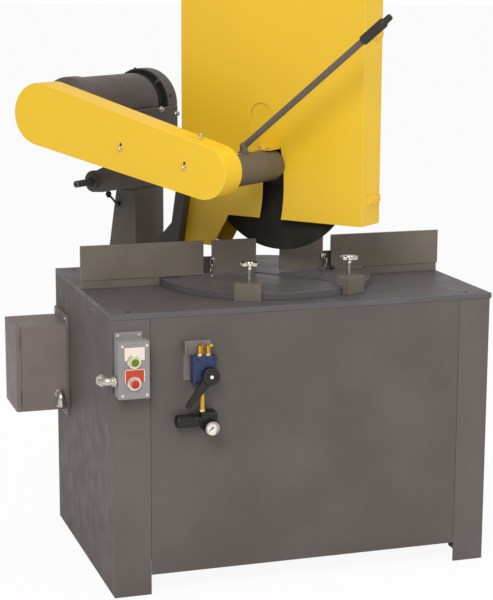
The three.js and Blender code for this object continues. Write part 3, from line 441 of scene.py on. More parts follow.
# Near-black painted shade for recesses and gaps: inside the fan cover, the shaft's centre hole and the table
# screws' countersinks.
RECESS_SHADE_BLACK = Moulded("painted_recess_shade", "#0e0d0c", 0.9)
CAST_GREY = Moulded("grey_cast_enamel", "#8b8889", 0.45, scuff="#9c9a9b", scuff_share=0.5, grain_depth=0.12)
BLUE = Enamel("blue_enamel_on_die_casting", "#1f2d58", 0.35, dust="#33446f", worn="#54658f", cloud_mm=30)
GREEN = Moulded("green_button", "#5b7a14", 0.3, scuff="#5d7414", grain_depth=0.02)
RED = Moulded("red_button", "#b02a10", 0.3, scuff="#8f2711", grain_depth=0.02)
PALE_RING = Moulded("pale_button_ring", "#e6e6a8", 0.35, scuff="#d8d890", grain_depth=0.02)
PINK_RING = Moulded("pale_red_button_ring", "#e9a184", 0.35, scuff="#d88a6c", grain_depth=0.02)
LEGEND_WHITE = Moulded("white_legend_plate", "#e8dccf", 0.4, scuff="#d9ccc0", grain_depth=0.02)
LEGEND_RED = Moulded("red_legend_plate", "#bf3f1c", 0.4, scuff="#a83314", grain_depth=0.02)
DIAL_WHITE = Moulded("dial_face", "#efe6e2", 0.4, scuff="#ded4d0", grain_depth=0.01)
WHITE_DOT = Moulded("white_indicator", "#efece6", 0.4, scuff="#dedad2", grain_depth=0.01)
WHEEL_GRIT = Grit("abrasive_grit", "#171510", 0.95)
GLASS = Clear("gauge_window", "#ffffff", 0.03)


# ---------------------------------------------------------------------------
# Shapes
# ---------------------------------------------------------------------------

TURN_TO: dict[Axis, Matrix] = {
    Axis.X: Matrix.Rotation(math.radians(90), 4, "Y"),
    Axis.Y: Matrix.Rotation(math.radians(-90), 4, "X"),
    Axis.Z: Matrix.Identity(4),
}


SHARP = 40.0  # an edge that turns more degrees than this is broken
GAP = 0.3  # between pieces that meet


def polar(centre: Pair, radius: float, angle: float) -> Pair:
    """Find a point on a circle.

    Args:
        centre: The circle's centre.
        radius: Its radius.
        angle: The point's angle in degrees.

    Returns:
        The point.
    """
    turn = math.radians(angle)
    return (centre[0] + radius * math.cos(turn), centre[1] + radius * math.sin(turn))


def arc(centre: Pair, radius: float, start: float, end: float, steps: int) -> Outline:
    """Points of an arc.

    Args:
        centre: The arc's centre.
        radius: Its radius.
        start: First angle in degrees.
        end: Last angle in degrees.
        steps: Number of steps between them.

    Returns:
        The points, both ends included.
    """
    return [polar(centre, radius, start + (end - start) * i / steps) for i in range(steps + 1)]


def round_end(radius: float, height: float, corner: float, steps: int = 5) -> Outline:
    """Profile of a rounded rim, from its side to its flat end.

    Args:
        radius: Radius of the body.
        height: Height of its flat end.
        corner: Radius of the rounded edge; negative when the end faces down.
        steps: Steps round the edge.

    Returns:
        Radius and height of each point.
    """
    size = abs(corner)
    sign = 1 if corner > 0 else -1
    return [
        (radius - size + size * math.cos(a), height - sign * size + sign * size * math.sin(a))
        for a in [math.radians(90 * i / steps) for i in range(steps + 1)]
    ]


def spot_on(axis: Axis, along: float, across: Pair) -> Point:
    """Place a point by its distance along an axis.

    Args:
        axis: The axis.
        along: Distance along it.
        across: Its place on the other two axes, in X, Y, Z order.

    Returns:
        The point.
    """
    u, v = across
    return {Axis.X: (along, u, v), Axis.Y: (u, along, v), Axis.Z: (u, v, along)}[axis]


def ordered(first: float, second: float) -> Pair:
    """Two places as a span, the lower first."""
    return (min(first, second), max(first, second))


def about(at: Pair, angle: float) -> Matrix:
    """Turn by degrees round an axis along Y that stands at a place on X and Z."""
    return Matrix.Translation((at[0], 0, at[1])) @ Matrix.Rotation(math.radians(angle), 4, "Y")


def is_sharp(edge: bmesh.types.BMEdge) -> bool:
    """Whether an edge between two faces turns enough to be broken."""
    return len(edge.link_faces) == 2 and edge.calc_face_angle(0) > math.radians(SHARP)


class Shape:
    """A mesh under construction, in millimetres, in the frame of its sub-assembly."""

    def __init__(self) -> None:
        """Start with an empty mesh."""
        self.bm = bmesh.new()

    def _since(self, known: set[bmesh.types.BMVert]) -> list[bmesh.types.BMVert]:
        """The vertices added since a set of them was taken."""
        return [v for v in self.bm.verts if v not in known]

    def _soften(self, verts: Iterable[bmesh.types.BMVert], width: float, segments: int) -> None:
        """Bevel the sharp edges among some vertices.

        Args:
            verts: The vertices.
            width: Bevel width in mm; nothing happens at 0.
            segments: Number of bevel segments.
        """
        if width <= 0:
            return
        chosen = set(verts)
        self._bevel([e for e in self.bm.edges if chosen.issuperset(e.verts) and is_sharp(e)], width, segments)

    def _bevel(self, edges: list[bmesh.types.BMEdge], width: float, segments: int) -> None:
        """Round some edges.

        Args:
            edges: The edges.
            width: Bevel width in mm.
            segments: Number of bevel segments.
        """
        bmesh.ops.bevel(
            self.bm,
            geom=edges,
            offset=width,
            offset_type="OFFSET",
            segments=segments,
            profile=0.5,
            affect="EDGES",
            clamp_overlap=True,
            material=-1,
        )

    def block(self, x: Pair, y: Pair, z: Pair, soft: float = 0.0, segments: int = 2) -> "Shape":
        """Add a box with its edges broken.

        Args:
            x: Where it starts and ends along X.
            y: Where it starts and ends along Y.
            z: Where it starts and ends along Z.
            soft: Width of the broken edges.
            segments: Number of bevel segments.

        Returns:
            The shape, for more to be added.
        """
        known = set(self.bm.verts)
        made = bmesh.ops.create_cube(self.bm, size=1.0)["verts"]
        bmesh.ops.scale(self.bm, vec=(x[1] - x[0], y[1] - y[0], z[1] - z[0]), verts=made)
        middle = ((x[0] + x[1]) / 2, (y[0] + y[1]) / 2, (z[0] + z[1]) / 2)
        bmesh.ops.translate(self.bm, vec=middle, verts=made)
        self._soften(self._since(known), soft, segments)
        return self

    def rod(
        self,
        axis: Axis,
        radius: float,
        span: Pair,
        at: Pair = (0.0, 0.0),
        sides: int = 32,
        soft: float = 0.0,
        turn: float = 0.0,
    ) -> "Shape":
        """Add a cylinder or a hexagon along an axis.

        Args:
            axis: The axis it lies along.
            radius: Its radius.
            span: Where it starts and ends along the axis.
            at: Its place on the other two axes, in X, Y, Z order.
            sides: Number of sides.
            soft: Width of the broken rim.
            turn: Turn about its own axis in degrees.

        Returns:
            The shape, for more to be added.
        """
        known = set(self.bm.verts)
        bmesh.ops.create_cone(
            self.bm,
            cap_ends=True,
            segments=sides,
            radius1=radius,
            radius2=radius,
            depth=span[1] - span[0],
        )
        made = self._since(known)
        centre = spot_on(axis, (span[0] + span[1]) / 2, at)
        spin = Matrix.Rotation(math.radians(turn), 4, "Z")
        place = Matrix.Translation(centre) @ TURN_TO[axis] @ spin
        bmesh.ops.transform(self.bm, matrix=place, verts=made)
        self._soften(made, soft, 2)
        return self

    def turned(self, axis: Axis, profile: Outline, at: Pair = (0.0, 0.0), sides: int = 64) -> "Shape":
        """Spin a profile of radius and height about an axis.

        Args:
            axis: The axis that it is spun about.
            profile: Radius and place along the axis; it closes on itself or runs between two
                points on the axis.
            at: The axis's place on the other two axes, in X, Y, Z order.
            sides: Number of steps round.

        Returns:
            The shape, for more to be added.
        """
        known = set(self.bm.verts)
        verts = [self.bm.verts.new((r, 0, h)) for r, h in profile]
        edges = [self.bm.edges.new(pair) for pair in zip(verts, verts[1:])]
        if profile[0][0] > 0:
            edges.append(self.bm.edges.new((verts[-1], verts[0])))
        bmesh.ops.spin(
            self.bm,
            geom=verts + edges,
            cent=(0, 0, 0),
            axis=(0, 0, 1),
            angle=math.tau,
            steps=sides,
            use_merge=True,
        )
        bmesh.ops.remove_doubles(self.bm, verts=self._since(known), dist=1e-3)
        made = self._since(known)
        self._outward(made)
        place = Matrix.Translation(spot_on(axis, 0.0, at)) @ TURN_TO[axis]
        bmesh.ops.transform(self.bm, matrix=place, verts=made)
        return self

    def _outward(self, verts: Iterable[bmesh.types.BMVert]) -> None:
        """Turn the faces of a closed shape outwards.

        Args:
            verts: The shape's vertices.
        """
        chosen = set(verts)
        faces = [f for f in self.bm.faces if all(v in chosen for v in f.verts)]
        bmesh.ops.recalc_face_normals(self.bm, faces=faces)

    def plate(
        self, axis: Axis, outline: Outline, span: Pair, soft: float = 0.0, segments: int = 2
    ) -> "Shape":
        """Extrude an outline along an axis.

        Args:
            axis: The axis that it is extruded along.
            outline: Points on the other two axes, in X, Y, Z order.
            span: Where it starts and ends along the axis.
            soft: Width of the broken edges.
            segments: Number of bevel segments.

        Returns:
            The shape, for more to be added.
        """
        known = set(self.bm.verts)
        corners = [self.bm.verts.new(spot_on(axis, span[0], point)) for point in outline]
        face = self.bm.faces.new(corners)
        grown = bmesh.ops.extrude_face_region(self.bm, geom=[face], use_keep_orig=True)
        moved = [g for g in grown["geom"] if isinstance(g, bmesh.types.BMVert)]
        shift = spot_on(axis, span[1] - span[0], (0.0, 0.0))
        bmesh.ops.translate(self.bm, vec=shift, verts=moved)
        made = self._since(known)
        self._outward(made)
        self._soften(made, soft, segments)
        return self

    def ball(self, radius: float, at: Point, flat: Point = (1, 1, 1), sides: int = 24) -> "Shape":
        """Add a ball.

        Args:
            radius: Its radius.
            at: Its centre.
            flat: Factor that squashes it along each axis.
            sides: Number of sides round it.

        Returns:
            The shape, for more to be added.
        """
        known = set(self.bm.verts)
        bmesh.ops.create_uvsphere(self.bm, u_segments=sides, v_segments=sides // 2, radius=radius)
        made = self._since(known)
        bmesh.ops.scale(self.bm, vec=flat, verts=made)
        bmesh.ops.translate(self.bm, vec=at, verts=made)
        return self

    def tube(self, points: Sequence[Point], radius: float, closed: bool = False, sides: int = 4) -> "Shape":
        """Add a round bar along a smooth path.

        Args:
            points: The points that the path passes.
            radius: Radius of the bar.
            closed: Whether the path closes on itself.
            sides: Resolution of the section; it has four times as many sides.

        Returns:
            The shape, for more to be added.
        """
        known = set(self.bm.verts)
        data = bpy.data.curves.new("path", "CURVE")
        data.dimensions = "3D"
        data.bevel_depth = radius
        data.bevel_resolution = sides
        data.use_fill_caps = True
        line = data.splines.new("POLY")
        line.points.add(len(points) - 1)
        for spot, point in zip(line.points, points):
            spot.co = (*point, 1.0)
        line.use_cyclic_u = closed
        holder = bpy.data.objects.new("path", data)
        mesh = bpy.data.meshes.new_from_object(holder)
        self.bm.from_mesh(mesh)
        bpy.data.objects.remove(holder)
        bpy.data.curves.remove(data)
        bpy.data.meshes.remove(mesh)
        bmesh.ops.remove_doubles(self.bm, verts=self._since(known), dist=1e-3)
        self._outward(self._since(known))
        return self

    def copy_node(self, node: str, place: Matrix, soft: float) -> "Shape":
        """Add a frame node's own solid, with its flat faces whole and its edges broken.

        Args:
            node: The node's name.
            place: The matrix from this shape's frame to the row frame.
            soft: Width of the broken edges in mm.

        Returns:
            The shape, for more to be added.
        """
        self.bm.from_mesh(bpy.data.objects[FRAME["nodes"][node].name].data)
        bmesh.ops.transform(self.bm, matrix=place.inverted(), verts=self.bm.verts)
        bmesh.ops.remove_doubles(self.bm, verts=self.bm.verts, dist=0.02)
        bmesh.ops.dissolve_limit(
            self.bm, angle_limit=math.radians(0.6), verts=self.bm.verts, edges=self.bm.edges
        )
        self._bevel([e for e in self.bm.edges if is_sharp(e)], soft, 2)
        return self

    def minus(self, tool: "Shape") -> "Shape":
        """Cut another shape out of this one.

        Args:
            tool: The shape that is cut out.

        Returns:
            This shape.
        """
        objects = []
        for shape in (self, tool):
            mesh = bpy.data.meshes.new("cutting")
            shape.bm.to_mesh(mesh)
            item = bpy.data.objects.new("cutting", mesh)
            bpy.context.scene.collection.objects.link(item)
            objects.append(item)
        target, cutter = objects
        modifier = target.modifiers.new("cut", "BOOLEAN")
        modifier.operation = "DIFFERENCE"
        modifier.solver = "EXACT"
        modifier.object = cutter
        bpy.context.view_layer.update()
        result = bpy.data.meshes.new_from_object(target.evaluated_get(bpy.context.evaluated_depsgraph_get()))
        self.bm.clear()
        self.bm.from_mesh(result)
        for item in objects:
            bpy.data.meshes.remove(item.data)
        bpy.data.meshes.remove(result)
        return self

    def moved(self, matrix: Matrix) -> "Shape":
        """Move everything made so far."""
        bmesh.ops.transform(self.bm, matrix=matrix, verts=self.bm.verts)
        return self

    def join(self, other: "Shape") -> "Shape":
        """Take in another shape, as a body of its own.

        Args:
            other: The shape that is taken in.

        Returns:
            This shape.
        """
        mesh = bpy.data.meshes.new("joining")
        other.bm.to_mesh(mesh)
        self.bm.from_mesh(mesh)
        bpy.data.meshes.remove(mesh)
        return self


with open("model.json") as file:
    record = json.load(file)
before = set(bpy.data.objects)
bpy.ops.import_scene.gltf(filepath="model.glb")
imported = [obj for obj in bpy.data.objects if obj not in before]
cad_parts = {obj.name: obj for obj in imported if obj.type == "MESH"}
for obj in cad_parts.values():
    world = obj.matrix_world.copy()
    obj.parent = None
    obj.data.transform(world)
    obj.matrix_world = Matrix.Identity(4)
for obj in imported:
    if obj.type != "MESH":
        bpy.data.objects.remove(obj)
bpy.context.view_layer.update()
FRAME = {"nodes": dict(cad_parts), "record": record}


@dataclass
class Carrier:
    """A frame of millimetres and the body that what is made in it rides on."""

    matrix: Matrix
    body: str

    def on(self, body: str) -> "Carrier":
        """The same frame, for pieces that ride on another body."""
        return Carrier(self.matrix, body)

    def add(
        self,
        name: str,
        shape: Shape,
        look: Look,
        slot: Slot,
        stands_for: Sequence[str] = (),
        smooth: float = 32.0,
    ) -> bpy.types.Object:
        """Make a shape a finished piece.

        Args:
            name: The piece's name.
            shape: Its shape, in this frame.
            look: Its finish.
            slot: The record's material slot that it belongs to; not used.
            stands_for: Frame nodes that it replaces.
            smooth: Edges that turn less than this many degrees are shaded smooth.

        Returns:
            The piece.
        """
        bmesh.ops.transform(shape.bm, matrix=self.matrix, verts=shape.bm.verts)
        mesh = bpy.data.meshes.new(name)
        shape.bm.to_mesh(mesh)
        shape.bm.free()
        mesh.polygons.foreach_set("use_smooth", [True] * len(mesh.polygons))
        mesh.set_sharp_from_angle(angle=math.radians(smooth))
        mesh.materials.append(look.build())
        piece = bpy.data.objects.new(name, mesh)
        bpy.context.scene.collection.objects.link(piece)
        flatten = piece.modifiers.new("flat_faces_lead", "WEIGHTED_NORMAL")
        flatten.keep_sharp = True
        flatten.weight = 100
        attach(piece, self.body)
        if stands_for:
            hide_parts(*stands_for)
        LOG.info("%s: %d faces, on %s", name, len(mesh.polygons), self.body)
        return piece

    def refine(self, node: str, look: Look, slot: Slot, soft: float) -> None:
        """Replace a frame node by its own solid, with its edges broken this wide."""
        self.add(f"{node}_finished", Shape().copy_node(node, self.matrix, soft), look, slot, [node])


def joint(name: str) -> dict:
    """The record's joint of that name."""
    return next(j for j in FRAME["record"]["behaviour"]["joints"] if j["name"] == name)


def carriers() -> dict[str, Carrier]:
    """Work out the frames of the cabinet, the turntable and the head.

    Returns:
        A carrier by sub-assembly: cabinet, swing and head.
    """
    low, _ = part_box("left_side")
    scale = Matrix.Scale(MM, 4)
    cabinet = Matrix.Translation(Vector(low)) @ scale
    pivot = joint("head_chop")
    across = Vector(pivot["axis"])
    mitre = Matrix.Rotation(math.atan2(across.x, -across.y), 4, "Z")
    centre = Vector(joint("turntable_swing")["pos_m"])
    centre.z = 0
    swing = Matrix.Translation(centre) @ mitre @ scale
    head = Matrix.Translation(Vector(pivot["pos_m"])) @ mitre @ scale
    return {
        "cabinet": Carrier(cabinet, "cabinet"),
        "swing": Carrier(swing, "turntable"),
        "head": Carrier(head, "head"),
    }


def screw(shape: Shape, axis: Axis, place: Point, radius: float, up: float, hexagon: bool = False) -> Shape:
    """Add a screw head with a washer.

    Args:
        shape: The shape that takes it.
        axis: The screw's axis.
        place: Where the head meets the face.
        radius: Radius of the head.
        up: Height of the head, negative when it points down the axis.
        hexagon: Whether it is a hexagon head.

    Returns:
        The shape.
    """
    index = {Axis.X: 0, Axis.Y: 1, Axis.Z: 2}[axis]
    at = tuple(value for i, value in enumerate(place) if i != index)
    start = place[index]
    rise = 1 if up > 0 else -1
    shape.rod(axis, radius * 1.35, ordered(start, start + rise * 1.2), at, 24, 0.3)
    head = ordered(start + rise, start + up)
    if hexagon:
        shape.rod(axis, radius, head, at, 6, 0.6, turn=12)
        shape.rod(axis, radius * 0.5, ordered(start + up * 0.9, start + up * 1.45), at, 16, 0.4)
    else:
        shape.rod(axis, radius, head, at, 24, min(abs(up), radius) * 0.35)
    return shape


# ---------------------------------------------------------------------------
# Sub-assemblies
# ---------------------------------------------------------------------------


@dataclass
class Cabinet:
    """The folded sheet-metal cabinet, its table and the fence on it."""

    frame: Carrier
    table: float = 914.0
    depth: float = 864.0
    width: float = 1273.0
    fence_y: float = 438.0
    links: int = 3
    link_length: float = 23.0
    link_width: float = 12.5
    wire: float = 1.9
    lanyards: tuple[Point, ...] = ((447.0, 429.0, 985.0), (858.0, 429.0, 981.0))

    def build(self) -> None:
        """Make the cabinet's panels, the fence and the lanyards."""
        # The sides and shelf take the lighter copy of the grey and the front and back the darker one: painted
        # light and painted shade.
        for node in ("left_side", "right_side", "bottom_shelf"):
            self.frame.refine(node, PAINT_SIDE_LIT, Slot.GREY_PAINT, 1.6)
        for node in ("front_panel", "back_panel"):
            self.frame.refine(node, PAINT_FRONT_SHADED, Slot.GREY_PAINT, 1.6)
        self.frame.refine("top_plate", PAINT_TABLE, Slot.GREY_PAINT, 1.5)
        self.screws()
        for side in ("left", "right"):
            self.frame.refine(f"fence_{side}", PAINT_FENCE, Slot.GREY_PAINT, 1.0)
            slider = self.frame.on(f"sliding_fence_{side}")
            slider.refine(f"sliding_fence_{side}", PAINT_FENCE, Slot.GREY_PAINT, 1.0)
            self.frame.refine(f"slide_bar_{side}", PAINT_DARK, Slot.DARK_PAINT, 1.0)
        for index, start in enumerate(self.lanyards):
            self.lanyard(index, start)

    def screws(self) -> None:
        """Countersunk screws that hold the table to the cabinet, drawn as black discs: painted shade in their
        countersinks.
        """
        shape = Shape()
        for x in (60, self.width - 70):
            for y in (34, self.depth - 40):
                shape.rod(Axis.Z, 7, (self.table - 0.2, self.table + 0.25), (x, y), 24, 0.1)
        self.frame.add("table_screws", shape, RECESS_SHADE_BLACK, Slot.DARK_PAINT)

    def lanyard(self, index: int, start: Point) -> None:
        """Hang a short chain with its lock pin from the end of a sliding fence.

        Args:
            index: 0 for the left chain, 1 for the right.
            start: Where the top link hangs.
        """
        x, y, z = start
        pitch = self.link_length - 2.5 * self.wire
        chain = Shape()
        for i in range(self.links):
            chain.join(self.link(i).moved(Matrix.Translation((x, y, z - i * pitch))))
        tab = ordered(x, x + (-16 if index else 12))
        chain.block(tab, (self.fence_y - 3.5, self.fence_y - GAP), (z - 2, z + 14), 0.8)
        chain.rod(Axis.Y, 3, (y - 2, self.fence_y - 2), (x, z + 6), 16, 0.5)
        slider = self.frame.on("sliding_fence_right" if index else "sliding_fence_left")
        slider.add(f"lanyard_chain_{index}", chain, CHROME, Slot.CHROME)
        low = z - self.links * pitch
        pin = Shape()
        pin.rod(Axis.Y, 5, (y - 5, y + 0.5), (x, z + 6), 24, 1.2)
        pin.rod(Axis.Z, 5, (low - 6, low + 4), (x + index * 6, y), 20, 1.5)
        if index:
            pin.ball(9, (x + 14, y - 22, self.table + 36), (1, 1, 0.85))
            pin.rod(Axis.X, 3.2, (x - 12, x + 14), (y - 22, self.table + 34), 12)
        slider.add(f"lock_pin_{index}", pin, BLACK, Slot.BLACK_PLASTIC)

    def link(self, index: int) -> Shape:
        """Bend one oval link, turned a quarter from the one before.

        Args:
            index: Its number in the chain.

        Returns:
            The link.
        """
        straight = self.link_length / 2 - self.link_width / 2
        across = self.link_width / 2 - self.wire
        ends = arc((0, straight), across, 0, 180, 8) + arc((0, -straight), across, 180, 360, 8)
        flat = [(u, 0.0, v) for u, v in ends]
        made = Shape().tube(flat, self.wire, True, 2)
        return made.moved(Matrix.Rotation(math.radians(90 * (index % 2) + 20), 4, "Z"))


@dataclass
class Clamps:
    """The two hooks that clamp the turntable's rim, with their star knobs."""

    frame: Carrier
    stud: float = 4.6
    lobes: int = 7
    star: float = 31.0
    top: float = 970.3
    rise: float = 42.0
    stud_foot: float = 940.0
    threads: int = 14
    thread_pitch: float = 2.8

    def build(self) -> None:
        """Make both clamps."""
        for side in ("left", "right"):
            self.frame.refine(f"clamp_block_{side}", PAINT_FENCE, Slot.GREY_PAINT, 2.0)
            self.knob(side)

    def outline(self, size: float) -> Outline:
        """Draw a star with rounded lobes.

        Args:
            size: Radius at the tips of its lobes.

        Returns:
            The outline.
        """
        steps = self.lobes * 14
        points = []
        for i in range(steps):
            angle = math.tau * i / steps
            wave = 0.5 - 0.5 * math.cos(angle * self.lobes)
            radius = size * (1 - 0.17 * wave**1.5)
            points.append((radius * math.cos(angle), radius * math.sin(angle)))
        return points

    def knob(self, side: str) -> None:
        """Make one star knob on its threaded stud.

        Args:
            side: left or right.
        """
        place = Vector(joint(f"clamp_knob_{side}_turn")["pos_m"])
        local = self.frame.matrix.inverted() @ place
        at = Matrix.Translation((local.x, local.y, 0))
        base = self.top + self.rise
        body = self.frame.on(f"clamp_knob_{side}")
        stud = Shape().rod(Axis.Z, self.stud, (self.stud_foot, base + 3), (0, 0), 20)
        for i in range(self.threads):
            low = self.top + 1.7 + i * self.thread_pitch
            stud.rod(Axis.Z, self.stud + 0.6, (low, low + 1.3), (0, 0), 20, 0.3)
        body.add(f"clamp_stud_{side}", stud.moved(at), STUD, Slot.CHROME)
        neck = [(0, -1), (9, -1), (10.5, 1), (10.5, 8), (13, 12), (0, 14)]
        crown = [(0, 20), (16, 22.6), (15, 25), (8, 26.5), (0, 26.8)]
        shape = Shape().turned(Axis.Z, [(r, base + h) for r, h in neck], sides=32)
        shape.plate(Axis.Z, self.outline(self.star), (base + 12, base + 23), 2.6, 3)
        shape.turned(Axis.Z, [(r, base + h) for r, h in crown], sides=32)
        body.add(
            f"star_knob_{side}", shape.moved(at), CHROME, Slot.CHROME, [f"clamp_knob_{side}"], 40
        )


@dataclass
class Turntable:
    """The mitring turntable, the column behind it and the pivot on the column."""

    frame: Carrier
    radius: float = 364.0
    bottom: float = 914.3
    top: float = 939.0
    groove: float = 202.0
    slot: tuple[Pair, Pair] = ((-140.0, 262.0), (-22.0, -2.0))
    pivot_x: float = -499.0
    pivot_z: float = 1247.0
    near: float = -110.0
    far: float = 60.0
    column_x: Pair = (-583.0, -457.0)
    hole_circle: float = 285.0
    hole_angles: tuple[float, ...] = (35.0, 95.0, 155.0, 215.0, 275.0, 335.0)
    cap_radius: float = 37.0
    foot_half: float = 42.0
    foot_low: float = 1200.3
    foot_top: float = 1214.0
    shaft_bore: float = 16.4
    coils: int = 9
    coil_radius: float = 25.0

    def build(self) -> None:
        """Make the turntable, column, bearings, spring and lock lever."""
        self.table()
        self.frame.refine("turntable_hub", STEEL, Slot.STEEL, 1.0)
        self.frame.refine("swing_arm", PAINT_TABLE, Slot.GREY_PAINT, 2.0)
        self.frame.refine("column", PAINT_COLUMN, Slot.GREY_PAINT, 3.0)
        self.column_details()
        for side, span in (("near", (self.near, self.near + 46)), ("far", (self.far - 46, self.far))):
            self.bearing(side, span)
        self.spring()
        self.lever()

    def table(self) -> None:
        """The turntable with its scribed circle and the wheel's slot."""
        groove = self.groove
        profile = [
            (0, self.bottom),
            (self.radius - 1, self.bottom),
            (self.radius, self.bottom + 1),
            *round_end(self.radius, self.top, 2.0),
            (groove + 1.3, self.top),
            (groove + 1.3, self.top - 2.5),
            (groove - 1.3, self.top - 2.5),
            (groove - 1.3, self.top),
            (0, self.top),
        ]
        shape = Shape().turned(Axis.Z, profile, sides=160)
        (x0, x1), (y0, y1) = self.slot
        half = (y1 - y0) / 2
        middle = (y0 + y1) / 2
        ends = arc((x1 - half, middle), half, -90, 90, 10) + arc((x0 + half, middle), half, 90, 270, 10)
        shape.minus(Shape().plate(Axis.Z, ends, (self.bottom - 2, self.top + 2)))
        holes = Shape()
        for angle in self.hole_angles:
            spot = polar((0.0, 0.0), self.hole_circle, angle)
            holes.rod(Axis.Z, 6, (self.top - 4, self.top + 1), spot, 20)
        shape.minus(holes)
        self.frame.add("turntable_plate", shape, PAINT_TABLE, Slot.GREY_PAINT, ["turntable"])

    def column_details(self) -> None:
        """Weld beads round the column's foot and the bolts of the swing arm."""
        beads = Shape()
        step = 6  # mm from ripple to ripple
        height = self.top + 2.5
        left, right = self.column_x
        for y in (self.near, self.far):
            beads.tube([(x, y, height) for x in range(int(left) + 1, int(right) + 2, step)], 3.6)
        for x in self.column_x:
            beads.tube([(x, y, height) for y in range(int(self.near), int(self.far) + 1, step)], 3.6)
        self.frame.add("column_welds", beads, PAINT_COLUMN, Slot.GREY_PAINT)
        bolts = Shape()
        for x in (-400, -430):
            for y in (-100, 50):
                screw(bolts, Axis.Z, (x, y, self.top), 8, 7, True)
        self.frame.add("swing_arm_bolts", bolts, ZINC, Slot.STEEL)

    def bearing(self, side: str, span: Pair) -> None:
        """A pillow block on top of the column.

        Args:
            side: near or far.
            span: Where it starts and ends across the column.
        """
        at = (self.pivot_x, self.pivot_z)
        cap = arc(at, self.cap_radius, -25, 205, 24)
        left, right = at[0] - self.foot_half, at[0] + self.foot_half
        foot = [(left, self.foot_top), (left, self.foot_low), (right, self.foot_low), (right, self.foot_top)]
        shape = Shape().plate(Axis.Y, foot + cap, span, 2.5)
        shape.minus(Shape().rod(Axis.Y, self.shaft_bore, (span[0] - 5, span[1] + 5), at, 48))
        self.frame.add(f"pillow_block_{side}", shape, PAINT_DARK, Slot.DARK_PAINT, [f"pivot_bearing_{side}"])
        trim = Shape()
        for x in (left + 8, right - 8):
            screw(trim, Axis.Z, (x, sum(span) / 2, self.foot_top), 6.5, 7, True)
        ring = (span[0] - 2.5, span[0]) if side == "near" else (span[1], span[1] + 2.5)
        top = at[1] + self.cap_radius
        trim.rod(Axis.Z, 4, (top - 1, top + 6), (at[0], sum(span) / 2), 12, 0.8)
        self.frame.add(f"pillow_block_bolts_{side}", trim, ZINC, Slot.STEEL)
        seal = Shape().turned(
            Axis.Y, [(16.6, ring[0]), (26, ring[0]), (26, ring[1]), (16.6, ring[1])], at, 48
        )
        self.frame.add(f"bearing_seal_{side}", seal, BLACK, Slot.BLACK_PLASTIC)

    def spring(self) -> None:
        """The return spring's coils round the pivot shaft."""
        first = self.near + 46 + 5
        last = self.far - 46 - 5
        steps = self.coils * 20
        path = []
        for i in range(steps + 1):
            x, z = polar((self.pivot_x, self.pivot_z), self.coil_radius, 360 * self.coils * i / steps)
            path.append((x, first + (last - first) * i / steps, z))
        shape = Shape().tube(path, 3.3, False, 2)
        self.frame.add("return_spring_coil", shape, SPRING_STEEL, Slot.STEEL, ["return_spring"])

    def lever(self) -> None:
        """The ball lever that locks the pivot."""
        body = self.frame.on("ball_lever")
        at = (-530.0, self.near - GAP, 1148.0)
        ball = (at[0] - 10, at[1] - 45, at[2] + 38)
        arm = Shape().rod(Axis.Y, 9, (at[1] - 14, at[1]), (at[0], at[2]), 6, 1.0)
        middle = (at[0] - 2, at[1] - 16, at[2] + 6)
        arm.tube([(at[0], at[1] - 7, at[2]), middle, ball], 3.8)
        body.add("lock_lever_arm", arm, SPRING_STEEL, Slot.STEEL)
        knob = Shape().ball(10.5, ball).rod(Axis.Z, 6, (ball[2] - 12, ball[2] - 4), ball[:2], 20, 1)
        body.add("lock_lever_ball", knob, BLACK, Slot.BLACK_PLASTIC, ["ball_lever"])


